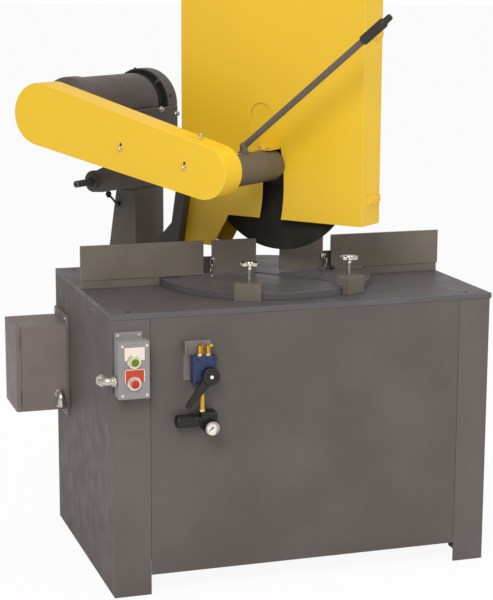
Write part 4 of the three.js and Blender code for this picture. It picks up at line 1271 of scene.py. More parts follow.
@dataclass
class Hood:
    """The wheel hood with its door, latches and strut."""

    frame: Carrier
    front: float = 403.0
    rear: float = -302.0
    far: float = 68.0
    door_start: float = 56.0
    latches: tuple[tuple[str, float], ...] = (("lower", 1218.0), ("upper", 1753.0))
    hinge_foot: float = 1045.0
    knuckle: float = 62.0
    knuckles: int = 13

    def build(self) -> None:
        """Make the hood, the door, its hinge and the latches."""
        self.frame.refine("hood_shell", YELLOW, Slot.YELLOW_PAINT, 1.4)
        self.frame.on("hood_door").refine("hood_door", YELLOW, Slot.YELLOW_PAINT, 1.4)
        self.frame.refine("hood_strut", PAINT_DARK, Slot.DARK_PAINT, 2.5)
        self.hinge()
        for name, z in self.latches:
            self.latch(name, z)

    def hinge(self) -> None:
        """The piano hinge down the hood's rear edge."""
        fixed = Shape()
        swinging = Shape()
        at = (self.rear - 5.6, self.far - 1)
        foot = self.hinge_foot
        pitch = self.knuckle + 1
        head = foot + self.knuckles * pitch
        for i in range(self.knuckles):
            low = foot + i * pitch
            target = fixed if i % 2 else swinging
            target.rod(Axis.Z, 4, (low, low + self.knuckle), at, 16, 0.6)
        fixed.rod(Axis.Z, 2, (foot - 3, head + 3), at, 12)
        fixed.block((self.rear - 3.2, self.rear - 0.2), (40, 53), (foot, head), 0.5)
        self.frame.add("door_hinge_fixed", fixed, YELLOW, Slot.YELLOW_PAINT)
        self.frame.on("hood_door").add("door_hinge_leaf", swinging, YELLOW, Slot.YELLOW_PAINT)

    def latch(self, name: str, z: float) -> None:
        """A draw latch on the hood's narrow front face, painted over.

        Args:
            name: lower or upper.
            z: Height of its middle.
        """
        x = self.front + GAP
        end = self.door_start - 3
        lever = Shape().block((x + 2, x + 8.2), (end - 60, end - 4), (z - 11, z + 11), 2.4, 3)
        lever.block((x, x + 4), (end - 72, end - 18), (z - 17, z + 17), 1.0)
        lever.rod(Axis.Z, 4, (z - 15, z + 15), (x + 4.5, end - 30), 20, 0.8)
        for side in (1, -1):
            bar = z + side * 9
            lever.tube([(x + 5, end - 56, bar), (x + 6, end - 6, bar), (x + 6, end, z + side * 6)], 1.6)
        body = self.frame.on(f"latch_{name}")
        body.add(f"draw_latch_{name}", lever, YELLOW, Slot.YELLOW_PAINT, [f"latch_{name}"])
        keeper = Shape().block((x - 0.3, x + 3), (self.door_start + 1, self.far - 1), (z - 12, z + 12), 0.8)
        keeper.rod(Axis.Z, 2.6, (z - 9, z + 9), (x + 3.4, self.door_start + 5), 16, 0.6)
        self.frame.on("hood_door").add(f"latch_keeper_{name}", keeper, YELLOW, Slot.YELLOW_PAINT)


@dataclass
class Head:
    """The chopping head: arm, spindle housing, wheel, motor, belt drive and handle."""

    frame: Carrier
    chop_radius: float = 565.5
    chop_angle: float = 7.2
    motor: Pair = (-84.0, 235.0)
    guard_face: float = 474.0
    guard_back: float = 376.0
    guard_motor: float = 103.0
    guard_spindle: float = 84.0
    guard_lift: float = 12.0
    handle_w: float = 215.0
    handle_foot: Pair = (552.0, 144.0)
    handle_angle: float = 39.0
    handle_length: float = 675.0
    handle_base: float = 52.3
    shaft_bore: float = 16.4
    housing_bore: float = 52.2
    arm_plates: tuple[Pair, ...] = ((-295.0, -283.0), (-246.0, -234.0))
    wheel_radius: float = 290.0
    wheel_faces: Pair = (-13.9, -10.1)
    foot_reach: float = 126.0
    plate_thick: float = 12.0
    cover_radius: float = 125.0
    cover_span: Pair = (94.0, 165.0)
    cover_slots: tuple[tuple[int, int], ...] = ((34, 10), (58, 16), (82, 24))
    pulley_span: Pair = (-390.0, -450.0)
    grooves: int = 3
    groove_pitch: float = 19.0
    guard_nuts: tuple[Pair, ...] = ((249.0, 144.0), (495.0, 100.0))

    @property
    def spindle(self) -> Pair:
        """The spindle's axis, from the pivot."""
        angle = math.radians(self.chop_angle)
        return (self.chop_radius * math.cos(angle), self.chop_radius * math.sin(angle))

    def build(self) -> None:
        """Make every piece of the head."""
        self.pivot_pieces()
        self.housing()
        self.wheel()
        self.motor_pieces()
        self.belt_drive()
        self.guard()
        self.slot_cover()
        self.handle()

    def pivot_pieces(self) -> None:
        """The pivot shaft and the welded arm."""
        shaft = Shape().turned(
            Axis.Y,
            [
                (0, -391),
                (9.5, -391),
                (11.5, -389),
                (11.5, -301),
                (14.5, -301),
                (16, -299),
                (16, 73),
                (15, 74),
                (0, 74),
            ],
            sides=48,
        )
        self.frame.add("pivot_shaft_turned", shaft, PAINT_DARK, Slot.STEEL, ["pivot_shaft"])
        # A black disc at the shaft's end: painted shade in its centre hole.
        tips = Shape().rod(Axis.Y, 3.5, (-391.6, -389), (0, 0), 20)
        self.frame.add("pivot_shaft_centre_painted_shade", tips, RECESS_SHADE_BLACK, Slot.DARK_PAINT)
        self.arm()
        nipple = Shape().tube([(20, -150, 24), (26, -152, 34), (30, -160, 40)], 2.4)
        self.frame.add("grease_nipple", nipple, BRASS, Slot.BRASS)
        clip = Shape().turned(Axis.Y, [(16.3, -299), (24, -299), (24, -303.5), (16.3, -303.5)], sides=40)
        self.frame.add("pivot_collar", clip, PAINT_DARK, Slot.DARK_PAINT)

    def arm(self) -> None:
        """The welded arm: two plates that cradle the housing from behind, a web and the pivot hub."""
        sx, sz = self.spindle
        rear = self.motor[0] + self.foot_reach + self.plate_thick + 2 * GAP
        side = [
            (38, -34),
            (200, -2),
            (sx - 66, 14),
            (sx - 48, sz - 40),
            (sx - 48, sz + 26),
            (sx - 110, 104),
            (200, 96),
            (rear + 80, 130),
            (rear + 6, 210),
            (rear, 210),
            (rear, 57),
            *arc((0, 0), 37, 78, 262, 16),
        ]
        shape = Shape()
        for span in self.arm_plates:
            shape.plate(Axis.Y, side, span, 1.6)
        near, far = self.arm_plates
        shape.block((60, sx - 90), (near[1] - 1, far[0] + 1), (24, 36), 1.0)
        bore = Shape().rod(Axis.Y, self.housing_bore, (-300, -230), (sx, sz), 64)
        bore.rod(Axis.Y, self.shaft_bore, (-300, -100), (0, 0), 40)
        inner = self.shaft_bore
        rim = [(inner, -300), (25, -300), (27, -298), (27, -115), (25, -113), (inner, -113)]
        hub = Shape().turned(Axis.Y, rim, sides=48)
        self.frame.add(
            "arm_weldment", shape.minus(bore).join(hub), PAINT_DARK, Slot.DARK_PAINT, ["arm"]
        )

    def housing(self) -> None:
        """The spindle's tubular housing and its bearings."""
        profile = [
            (30, -375.7),
            (30, -33),
            (37, -33),
            (37, -56),
            (44, -58),
            *[(r, -58 - 52 + h) for r, h in round_end(52, 52, 3)][::-1],
            (52, -373),
            (50, -375.7),
        ]
        shape = Shape().turned(Axis.Y, profile, self.spindle, 96)
        self.frame.add("spindle_housing_tube", shape, PAINT_COLUMN, Slot.GREY_PAINT, ["spindle_housing"])
        for side in ("near", "far"):
            self.frame.refine(f"spindle_bearing_{side}", STEEL, Slot.STEEL, 0.6)

    def wheel(self) -> None:
        """Spindle shaft, flanges, nut and the abrasive wheel."""
        body = self.frame.on("spindle")
        at = self.spindle
        shaft = Shape().turned(
            Axis.Y,
            [
                (0, 22),
                (10.5, 22),
                (12, 20),
                (12, -14.3),
                (70, -14.3),
                (72, -16),
                (72, -22),
                (68, -24.3),
                (15, -24.3),
                (15, -454),
                (13, -456),
                (0, -456),
            ],
            at,
            64,
        )
        body.add("spindle_shaft_turned", shaft, OILED_STEEL, Slot.STEEL, ["spindle_shaft"])
        back, front = self.wheel_faces
        edge = self.wheel_radius
        profile = [
            (12.6, back),
            (26, back),
            (26, back + 0.3),
            (edge - 1.2, back + 0.1),
            (edge, back + 0.9),
            (edge, front - 0.9),
            (edge - 1.2, front - 0.1),
            (26, front - 0.3),
            (26, front),
            (12.6, front),
        ]
        wheel = Shape().turned(Axis.Y, profile, at, 160)
        body.add("cutting_wheel", wheel, WHEEL_GRIT, Slot.ABRASIVE, ["abrasive_wheel"])
        flange = Shape().turned(
            Axis.Y,
            [(12.4, -9.5), (72, -9.5), (72, -4), (66, 0.2), (30, 0.2), (28, 2), (12.4, 2)],
            at,
            64,
        )
        nut = Shape().rod(Axis.Y, 22, (1.8, 18), at, 6, 1.2)
        nut.minus(Shape().rod(Axis.Y, 12.3, (-1, 24), at, 32))
        body.add("outer_flange_and_nut", flange.join(nut), STEEL, Slot.STEEL, ["outer_flange"])

    def motor_pieces(self) -> None:
        """The motor on its plate, with the fan cover at the far end."""
        at = self.motor
        profile = [
            (20, -366),
            (56, -366),
            *[(56 + 6 * math.sin(a), -360 - 6 * math.cos(a)) for a in (0.4, 0.9, 1.4)],
            *[(62 + 50 * t**0.85, -359 + 36 * t**1.25) for t in (0.2, 0.4, 0.6, 0.8)],
            (113.5, -322),
            (115, -316),
            (115, -268),
            (113.5, -265.5),
            (110, -264.5),
            (110, 54),
            (108, 58),
            (20, 58),
        ]
        shape = Shape().turned(Axis.Y, profile, at, 96)
        for y0, y1 in ((0, 60), (-250, -190)):
            shape.block((at[0] + 70, at[0] + self.foot_reach), (y0, y1), (at[1] - 70, at[1] - 9), 4.0, 3)
        shape.block((at[0] - 40, at[0] + 46), (-150, -40), (at[1] - 122, at[1] - 96), 5.0, 3)
        self.frame.add("motor_frame", shape, PAINT_MOTOR, Slot.DARK_PAINT, ["motor_body"])
        self.frame.refine("motor_plate", PAINT_DARK, Slot.DARK_PAINT, 1.6)
        inner = at[0] + self.foot_reach + GAP
        outer = inner + self.plate_thick
        edge = Shape().block((inner + 0.5, outer - 0.5), (-294, 131), (at[1] - 5.2, at[1] - 4.2), 0.3)
        self.frame.add("motor_plate_ground_edge", edge, STEEL, Slot.STEEL)
        self.fan_cover()
        bolts = Shape()
        for y in (30, -220):
            for z in (-50, 50):
                screw(bolts, Axis.X, (outer, y, at[1] - 60 + z), 8, 8, True)
        screw(bolts, Axis.X, (outer, 124, at[1] - 32), 8, 9, True)
        self.frame.add("motor_plate_bolts", bolts, ZINC, Slot.STEEL)
        self.end_bell_bolts()

    def end_bell_bolts(self) -> None:
        """Through-bolts in the motor's near end bell."""
        bolts = Shape()
        for angle in (45, 135, 225, 315):
            x, z = polar(self.motor, 92, angle)
            screw(bolts, Axis.Y, (x, -337, z), 7, -8, True)
        self.frame.add("end_bell_bolts", bolts, PAINT_DARK, Slot.DARK_PAINT)

    def fan_cover(self) -> None:
        """The cup over the fan, with a slotted end, open round the motor's frame."""
        at = self.motor
        radius = self.cover_radius
        start, end = self.cover_span
        wall = 4
        outside = [(radius, start), *round_end(radius, end, 24, 8), (0, end + 0.8)]
        bend = [(r - wall, h - wall) for r, h in round_end(radius, end, 22, 8)][::-1]
        inside = [(0, end - 3.5), *bend, (radius - wall, start)]
        shape = Shape().turned(Axis.Y, self.shell(outside, inside), at, 96)
        slots = Shape()
        for ring, count in self.cover_slots:
            for i in range(count):
                hole = Shape().block((ring - 8, ring + 8), (150, 175), (-3.2, 3.2), 1.5)
                slots.join(hole.moved(about(at, 360 * i / count)))
        shape.minus(slots)
        for angle in (45, 135, 225, 315):
            spoke = Shape().block((84, 123), (84.3, 104), (-5, 5), 1.0)
            shape.join(spoke.moved(about(at, angle)))
        # Painted shade: black rings fill the gap between the motor's frame and the cup and the neck behind
        # it, and a black disc inside the slotted end stands for the shade behind the slots.
        painted_shade = Shape().turned(Axis.Y, [(98, 90), (120.8, 90), (120.8, 96), (98, 96)], at, 96)
        painted_shade.turned(Axis.Y, [(20, 57.5), (104, 57.5), (104, 92), (20, 92)], at, 96)
        painted_shade.turned(Axis.Y, [(0, 156), (112, 156), (112, 158.5), (0, 158.5)], at, 64)
        self.frame.add("fan_cover_painted_shade", painted_shade, RECESS_SHADE_BLACK, Slot.DARK_PAINT)
        self.frame.add("fan_cover_cup", shape, PAINT_MOTOR, Slot.DARK_PAINT, ["fan_cover"])
        bolts = Shape()
        for angle in (15, 105, 195, 285):
            x, z = polar(at, radius, angle)
            bolts.ball(5.5, (x, 112, z), sides=16)
        self.frame.add("fan_cover_screws", bolts, BLACK, Slot.DARK_PAINT)

    def shell(self, outside: Outline, inside: Outline) -> Outline:
        """The closed profile of a cup, from its outer and inner lines."""
        turned = [(inside[-1][0], inside[-1][1])] + outside[:-1] + [(0.0, outside[-1][1])]
        return [(0.0, inside[0][1])] + inside[1:-1] + turned

    def belt_drive(self) -> None:
        """Pulleys with belt grooves, the rotor and the ribbed belts."""
        wheels = {
            "spindle_pulley": (self.spindle, 52.0, 15.3, "spindle"),
            "motor_pulley": (self.motor, 66.0, 19.3, "rotor"),
        }
        for node, (at, radius, bore, body) in wheels.items():
            first, last = self.pulley_span
            profile = [(bore, first), (radius, first)]
            for i in range(self.grooves):
                start = first - 2 - i * self.groove_pitch
                profile += [(radius, start), (radius - 10, start - 5), (radius - 10, start - 12)]
                profile += [(radius, start - 17)]
            profile += [(radius, last), (bore, last)]
            shape = Shape().turned(Axis.Y, profile, at, 64)
            self.frame.on(body).add(f"{node}_grooved", shape, STEEL, Slot.STEEL, [node])
        self.frame.on("rotor").refine("motor_shaft", STEEL, Slot.STEEL, 0.8)
        self.frame.refine("drive_belt", BELT_RUBBER, Slot.RUBBER, 1.2)

    def guard_outline(self, inset: float) -> Outline:
        """Draw the guard's outline.

        Args:
            inset: How far it is set in.

        Returns:
            The outline.
        """
        ax, az = self.motor
        bx, bz = self.spindle[0] + 4, self.spindle[1] + self.guard_lift
        ra, rb = self.guard_motor - inset, self.guard_spindle - inset
        span = math.hypot(bx - ax, bz - az)
        heading = math.degrees(math.atan2(bz - az, bx - ax))
        splay = math.degrees(math.acos((ra - rb) / span))
        left = arc((ax, az), ra, heading + splay, heading + 360 - splay, 40)
        return left + arc((bx, bz), rb, heading - splay, heading + splay, 40)

    def guard(self) -> None:
        """The yellow belt guard with its nuts, keyholes and screw."""
        shape = Shape().plate(Axis.Y, self.guard_outline(0), (-self.guard_face, -self.guard_back), 2.2, 3)
        inside = Shape().plate(
            Axis.Y, self.guard_outline(3), (-self.guard_face + 3, -self.guard_back + 5)
        )
        shape.minus(inside)
        keyholes = Shape()
        fittings = Shape()
        for x, z in self.guard_nuts:
            lens = arc((x, z + 2), 7.5, 205, 335, 10) + arc((x, z + 11), 4.2, -10, 190, 10)
            keyholes.plate(Axis.Y, lens, (-self.guard_face - 4, -self.guard_face + 6))
            washer = [(0, -2.5), (9, -2.5), (9.6, -1.5), (9.6, -0.4), (0, -0.4)]
            fittings.turned(Axis.Y, [(r, h - self.guard_face) for r, h in washer], (x, z - 2), 32)
            fittings.rod(Axis.Y, 7.6, (-self.guard_face - 9, -self.guard_face - 2), (x, z - 2), 6, 1.0)
            fittings.ball(5.6, (x, -self.guard_face - 9, z - 2), (1, 0.8, 1), 20)
        shape.minus(keyholes)
        self.frame.add("belt_guard", shape, YELLOW, Slot.YELLOW_PAINT, ["guard_cover"], 28)
        self.frame.refine("guard_back", YELLOW, Slot.YELLOW_PAINT, 0.8)
        self.frame.add("guard_nuts", fittings, BRASS_PALE, Slot.BRASS)
        slope = math.radians(-17.5)
        top = Shape().rod(Axis.Z, 9, (0, 1.6), (0, 0), 24, 0.4)
        top.rod(Axis.Z, 7, (1.2, 8), (0, 0), 6, 0.9).ball(4.5, (0, 0, 8), (1, 1, 0.6), 16)
        spot = Matrix.Translation((524, -424, 191.5)) @ Matrix.Rotation(-slope, 4, "Y")
        self.frame.add("guard_top_screw", top.moved(spot), ZINC, Slot.STEEL)

    def slot_cover(self) -> None:
        """The sliding cover of the hood's slot with its bent tab and screws."""
        self.frame.refine("slot_cover", YELLOW, Slot.YELLOW_PAINT, 0.9)
        screws = Shape()
        z = self.spindle[1] + self.handle_base + 3
        for x in (self.spindle[0] - 22, self.spindle[0] + 12):
            screw(screws, Axis.Z, (x, -96, z), 5.5, 5, True)
        self.frame.add("slot_cover_screws", screws, ZINC, Slot.STEEL)

    def handle(self) -> None:
        """The pull-down handle, welded to the housing, with its vinyl grip."""
        foot = Matrix.Translation((self.handle_foot[0], -self.handle_w, self.handle_foot[1]))
        lean = foot @ Matrix.Rotation(math.radians(90 - self.handle_angle), 4, "Y")
        grip = self.handle_length - 122
        rod = Shape().rod(Axis.Z, 10.5, (-6, grip + 88), (0, 0), 40)
        rod.moved(lean)
        base = self.spindle[1] + self.handle_base
        at = (self.handle_foot[0], -self.handle_w)
        rod.rod(Axis.Z, 13, (base, self.handle_foot[1] + 1), at, 32)
        rod.ball(13.2, (*at, self.handle_foot[1] + 1), (1, 1, 1), 32)
        weld = [
            (
                self.handle_foot[0] + 16 * math.cos(a),
                -self.handle_w + 13 * math.sin(a),
                base + 2 + math.sin(3 * a),
            )
            for a in [math.tau * i / 24 for i in range(24)]
        ]
        rod.tube(weld, 3.0, True, 2)
        self.frame.add("pull_handle_rod", rod, PAINT_COLUMN, Slot.DARK_PAINT, ["handle_rod"])
        profile = [
            (10.8, grip),
            (14, grip),
            (15.6, grip + 2),
            (16, grip + 6),
            (16, grip + 88),
            (15, grip + 93),
            (11.4, grip + 97),
            (10.5, grip + 100),
            (10.5, self.handle_length - 4),
            (9, self.handle_length - 1),
            (6, self.handle_length),
            (0, self.handle_length),
        ]
        sleeve = Shape().turned(Axis.Z, [*profile, (0, grip + 90), (10.8, grip + 90)], sides=48)
        self.frame.add(
            "pull_handle_grip", sleeve.moved(lean), GRIP_RUBBER, Slot.BLACK_PLASTIC, ["handle_grip"]
        )


@dataclass
class Station:
    """The push-button station on the left leg, with its conduit elbow."""

    frame: Carrier
    left: float = 6.0
    wide: float = 100.0
    low: float = 659.0
    tall: float = 180.0
    face: float = -56.0
    button_x: float = 56.0
    start: float = 777.0
    stop: float = 709.0

    def build(self) -> None:
        """Make the box, its plates, rings, buttons and elbow."""
        right = self.left + self.wide
        top = self.low + self.tall
        box = Shape().block((self.left, right), (self.face + 12, -GAP), (self.low, top), 4.0, 3)
        box.block((self.left, right), (self.face, self.face + 11.2), (self.low, top), 3.0, 3)
        box.block((self.left + 1, right - 10), (-5, -GAP), (top - 6, top + 21), 1.2)
        wells = Shape()
        for z in (self.start, self.stop):
            wells.rod(Axis.Y, 15.4, (self.face - 2, self.face + 11), (self.button_x, z), 48)
        box.minus(wells)
        self.frame.add("station_casting", box, CAST_GREY, Slot.GREY_CASTING, ["station_box"])
        self.screws()
        self.legend("start", self.start, LEGEND_WHITE, Slot.GREY_CASTING)
        self.legend("stop", self.stop, LEGEND_RED, Slot.RED_PLASTIC)
        self.button("start", self.start, GREEN, PALE_RING, Slot.GREEN_PLASTIC)
        self.button("stop", self.stop, RED, PINK_RING, Slot.RED_PLASTIC)
        self.elbow()

    def screws(self) -> None:
        """Cover screws and the two screws in the mounting lug."""
        shape = Shape()
        right = self.left + self.wide
        for x in (self.left + 13, right - 10):
            for z in (self.low + 13, self.low + self.tall - 12):
                screw(shape, Axis.Y, (x, self.face, z), 3.6, -2.6)
        for x in (self.left + 11, right - 23):
            screw(shape, Axis.Y, (x, -5, self.low + self.tall + 10), 4.2, -3.4)
        self.frame.add("station_screws", shape, CHROME, Slot.CHROME)

    def legend(self, name: str, z: float, look: Look, slot: Slot) -> None:
        """A legend plate above a button, left bare.

        Args:
            name: start or stop.
            z: The button's height.
            look: The plate's finish.
            slot: Its material slot.
        """
        x0, x1 = self.left + 20, self.left + 83
        plate = Shape().block((x0, x1), (self.face - 1.6, self.face - 0.1), (z + 4, z + 45), 0.5)
        hole = Shape().rod(Axis.Y, 17.4, (self.face - 4, self.face + 4), (self.button_x, z), 48)
        self.frame.add(f"{name}_legend", plate.minus(hole), look, slot)
        if look is LEGEND_RED:
            border = Shape()
            for x in (x0, x1 - 2.6):
                border.block((x, x + 2.6), (self.face - 2, self.face - 1.5), (z + 4, z + 45), 0.2)
            border.block((x0, x1), (self.face - 2, self.face - 1.5), (z + 42.4, z + 45), 0.2)
            self.frame.add("stop_legend_border", border, LEGEND_WHITE, Slot.GREY_CASTING)

    def button(self, name: str, z: float, look: Look, ring_look: Look, slot: Slot) -> None:
        """A push button with its collar.

        Args:
            name: start or stop.
            z: Height of its middle.
            look: Finish of the cap.
            ring_look: Finish of the pale ring round the cap.
            slot: Material slot of the cap.
        """
        at = (self.button_x, z)
        face = self.face
        body = self.frame.on(f"{name}_button")
        profiles = {
            "collar": [(15.8, -0.2), (23, -0.2), (23, -3), (20.5, -6.5), (15.8, -6.5)],
            "ring": [(12.6, 5), (15, 5), (15, -14), (14, -15.6), (12.6, -15.6)],
            "cap": [(0, -14), (8, -14.4), (11.5, -15), (12.4, -14), (12.4, 5), (0, 5)],
        }
        collar, ring, cap = (
            Shape().turned(Axis.Y, [(r, face + h) for r, h in profile], at, 48)
            for profile in profiles.values()
        )
        self.frame.add(f"{name}_collar", collar, CHROME, Slot.CHROME)
        body.add(f"{name}_button_ring", ring, ring_look, slot)
        body.add(f"{name}_button_cap", cap, look, slot, [f"{name}_button"])

    def elbow(self) -> None:
        """The conduit elbow that runs back to the cabinet's side."""
        z = self.stop + 4
        y = -28.0
        path = [(self.left - 4, y, z), (self.left - 20, y, z)]
        centre = (self.left - 20, y + 20)
        path += [(*p, z) for p in arc(centre, 20, -90, -180, 8)]
        path += [(self.left - 40, y + 34, z)]
        shape = Shape().tube(path, 13, False, 5)
        shape.rod(Axis.X, 19.5, (self.left - 9, self.left - GAP), (y, z), 8, 1.5)
        shape.rod(Axis.X, 16.5, (self.left - 15, self.left - 8), (y, z), 32, 1.5)
        shape.rod(Axis.Y, 20, (y + 20, y + 31), (self.left - 40, z), 6, 1.8)
        shape.rod(Axis.Y, 14.5, (y + 30, y + 40), (self.left - 40, z), 32, 1.5)
        self.frame.add("conduit_elbow", shape, ZINC, Slot.STEEL)


@dataclass
class ElectricalBox:
    """The motor starter's box on the cabinet's left side."""

    frame: Carrier
    out: float = 165.0
    door: float = 20.0
    front: float = 652.0
    back: float = 858.0
    low: float = 455.0
    high: float = 752.0
    rail: float = 7.4
    ear: float = 30.0
    terminals: int = 4

    def build(self) -> None:
        """Make the box, door, contactor and conduit fitting."""
        sheet = 3
        box = Shape().block((-self.out, -self.rail), (self.front, self.back), (self.low, self.high), 2.0, 3)
        hollow = Shape().block(
            (-self.out - 5, -self.rail - sheet),
            (self.front + sheet, self.back - sheet),
            (self.low + sheet, self.high - sheet),
        )
        box.minus(hollow)
        ears = (self.low - self.ear, self.high + self.ear)
        box.block((-self.rail - 0.6, -GAP), (self.front + 4, self.back - 4), ears, 0.8)
        self.frame.add("starter_box", box, PAINT_BOX, Slot.GREY_PAINT, ["electrical_box"])
        lid = self.frame.on("electrical_door")
        lid.refine("electrical_door", PAINT_BOX, Slot.GREY_PAINT, 2.2)
        knuckles = Shape()
        for z in (self.low + 50, self.high - 50):
            knuckles.rod(Axis.Z, 3.2, (z - 22, z + 22), (-self.out - 8, self.front - 3.4), 16, 1)
        lid.add("starter_box_hinges", knuckles, PAINT_BOX, Slot.GREY_PAINT)
        trim = Shape()
        for z in (self.high + self.ear - 12, self.low - self.ear + 12):
            for y in (self.front + 22, self.back - 22):
                screw(trim, Axis.X, (-self.rail, y, z), 4.5, -4, True)
        self.frame.add("starter_box_screws", trim, ZINC, Slot.STEEL)
        catches = Shape()
        for z in (self.low + 60, self.high - 60):
            screw(catches, Axis.X, (-self.out - self.door, self.back - 18, z), 6, -3)
        lid.add("starter_door_screws", catches, ZINC, Slot.STEEL)
        self.contactor()
        self.fitting()

    def contactor(self) -> None:
        """The contactor, with terminals and its DIN-style foot."""
        low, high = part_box("contactor")
        inverse = self.frame.matrix.inverted()
        a, b = inverse @ Vector(low), inverse @ Vector(high)
        shape = Shape().block((a.x, b.x), (a.y, b.y), (a.z + 18, b.z - 18), 2.5, 3)
        shape.block((a.x + 24, b.x), (a.y + 2, b.y - 2), (a.z, b.z), 1.5)
        for i in range(self.terminals):
            y = a.y + (b.y - a.y) * (i + 0.5) / self.terminals
            for z in (a.z + 8, b.z - 8):
                shape.rod(Axis.X, 4.5, (a.x + 18, a.x + 26), (y, z), 16, 0.8)
        self.frame.add("starter_contactor", shape, BLACK, Slot.BLACK_PLASTIC, ["contactor"])

    def fitting(self) -> None:
        """The conduit fitting on the box's front face."""
        x = -self.rail - 28
        z = self.low + 58
        path = [(x, self.front + 1, z), (x, self.front - 14, z)]
        path += [(x, *p) for p in arc((self.front - 14, z - 16), 16, 90, 180, 8)]
        path += [(x, self.front - 30, z - 30)]
        shape = Shape().tube(path, 13, False, 5)
        shape.rod(Axis.Y, 18, (self.front - 8, self.front - 0.2), (x, z), 8, 1.5)
        shape.rod(Axis.Z, 19, (z - 40, z - 27), (x, self.front - 30), 32, 2.5)
        shape.rod(Axis.Z, 16, (z - 28, z - 18), (x, self.front - 30), 6, 1.5)
        self.frame.add("starter_conduit_fitting", shape, ZINC, Slot.STEEL)


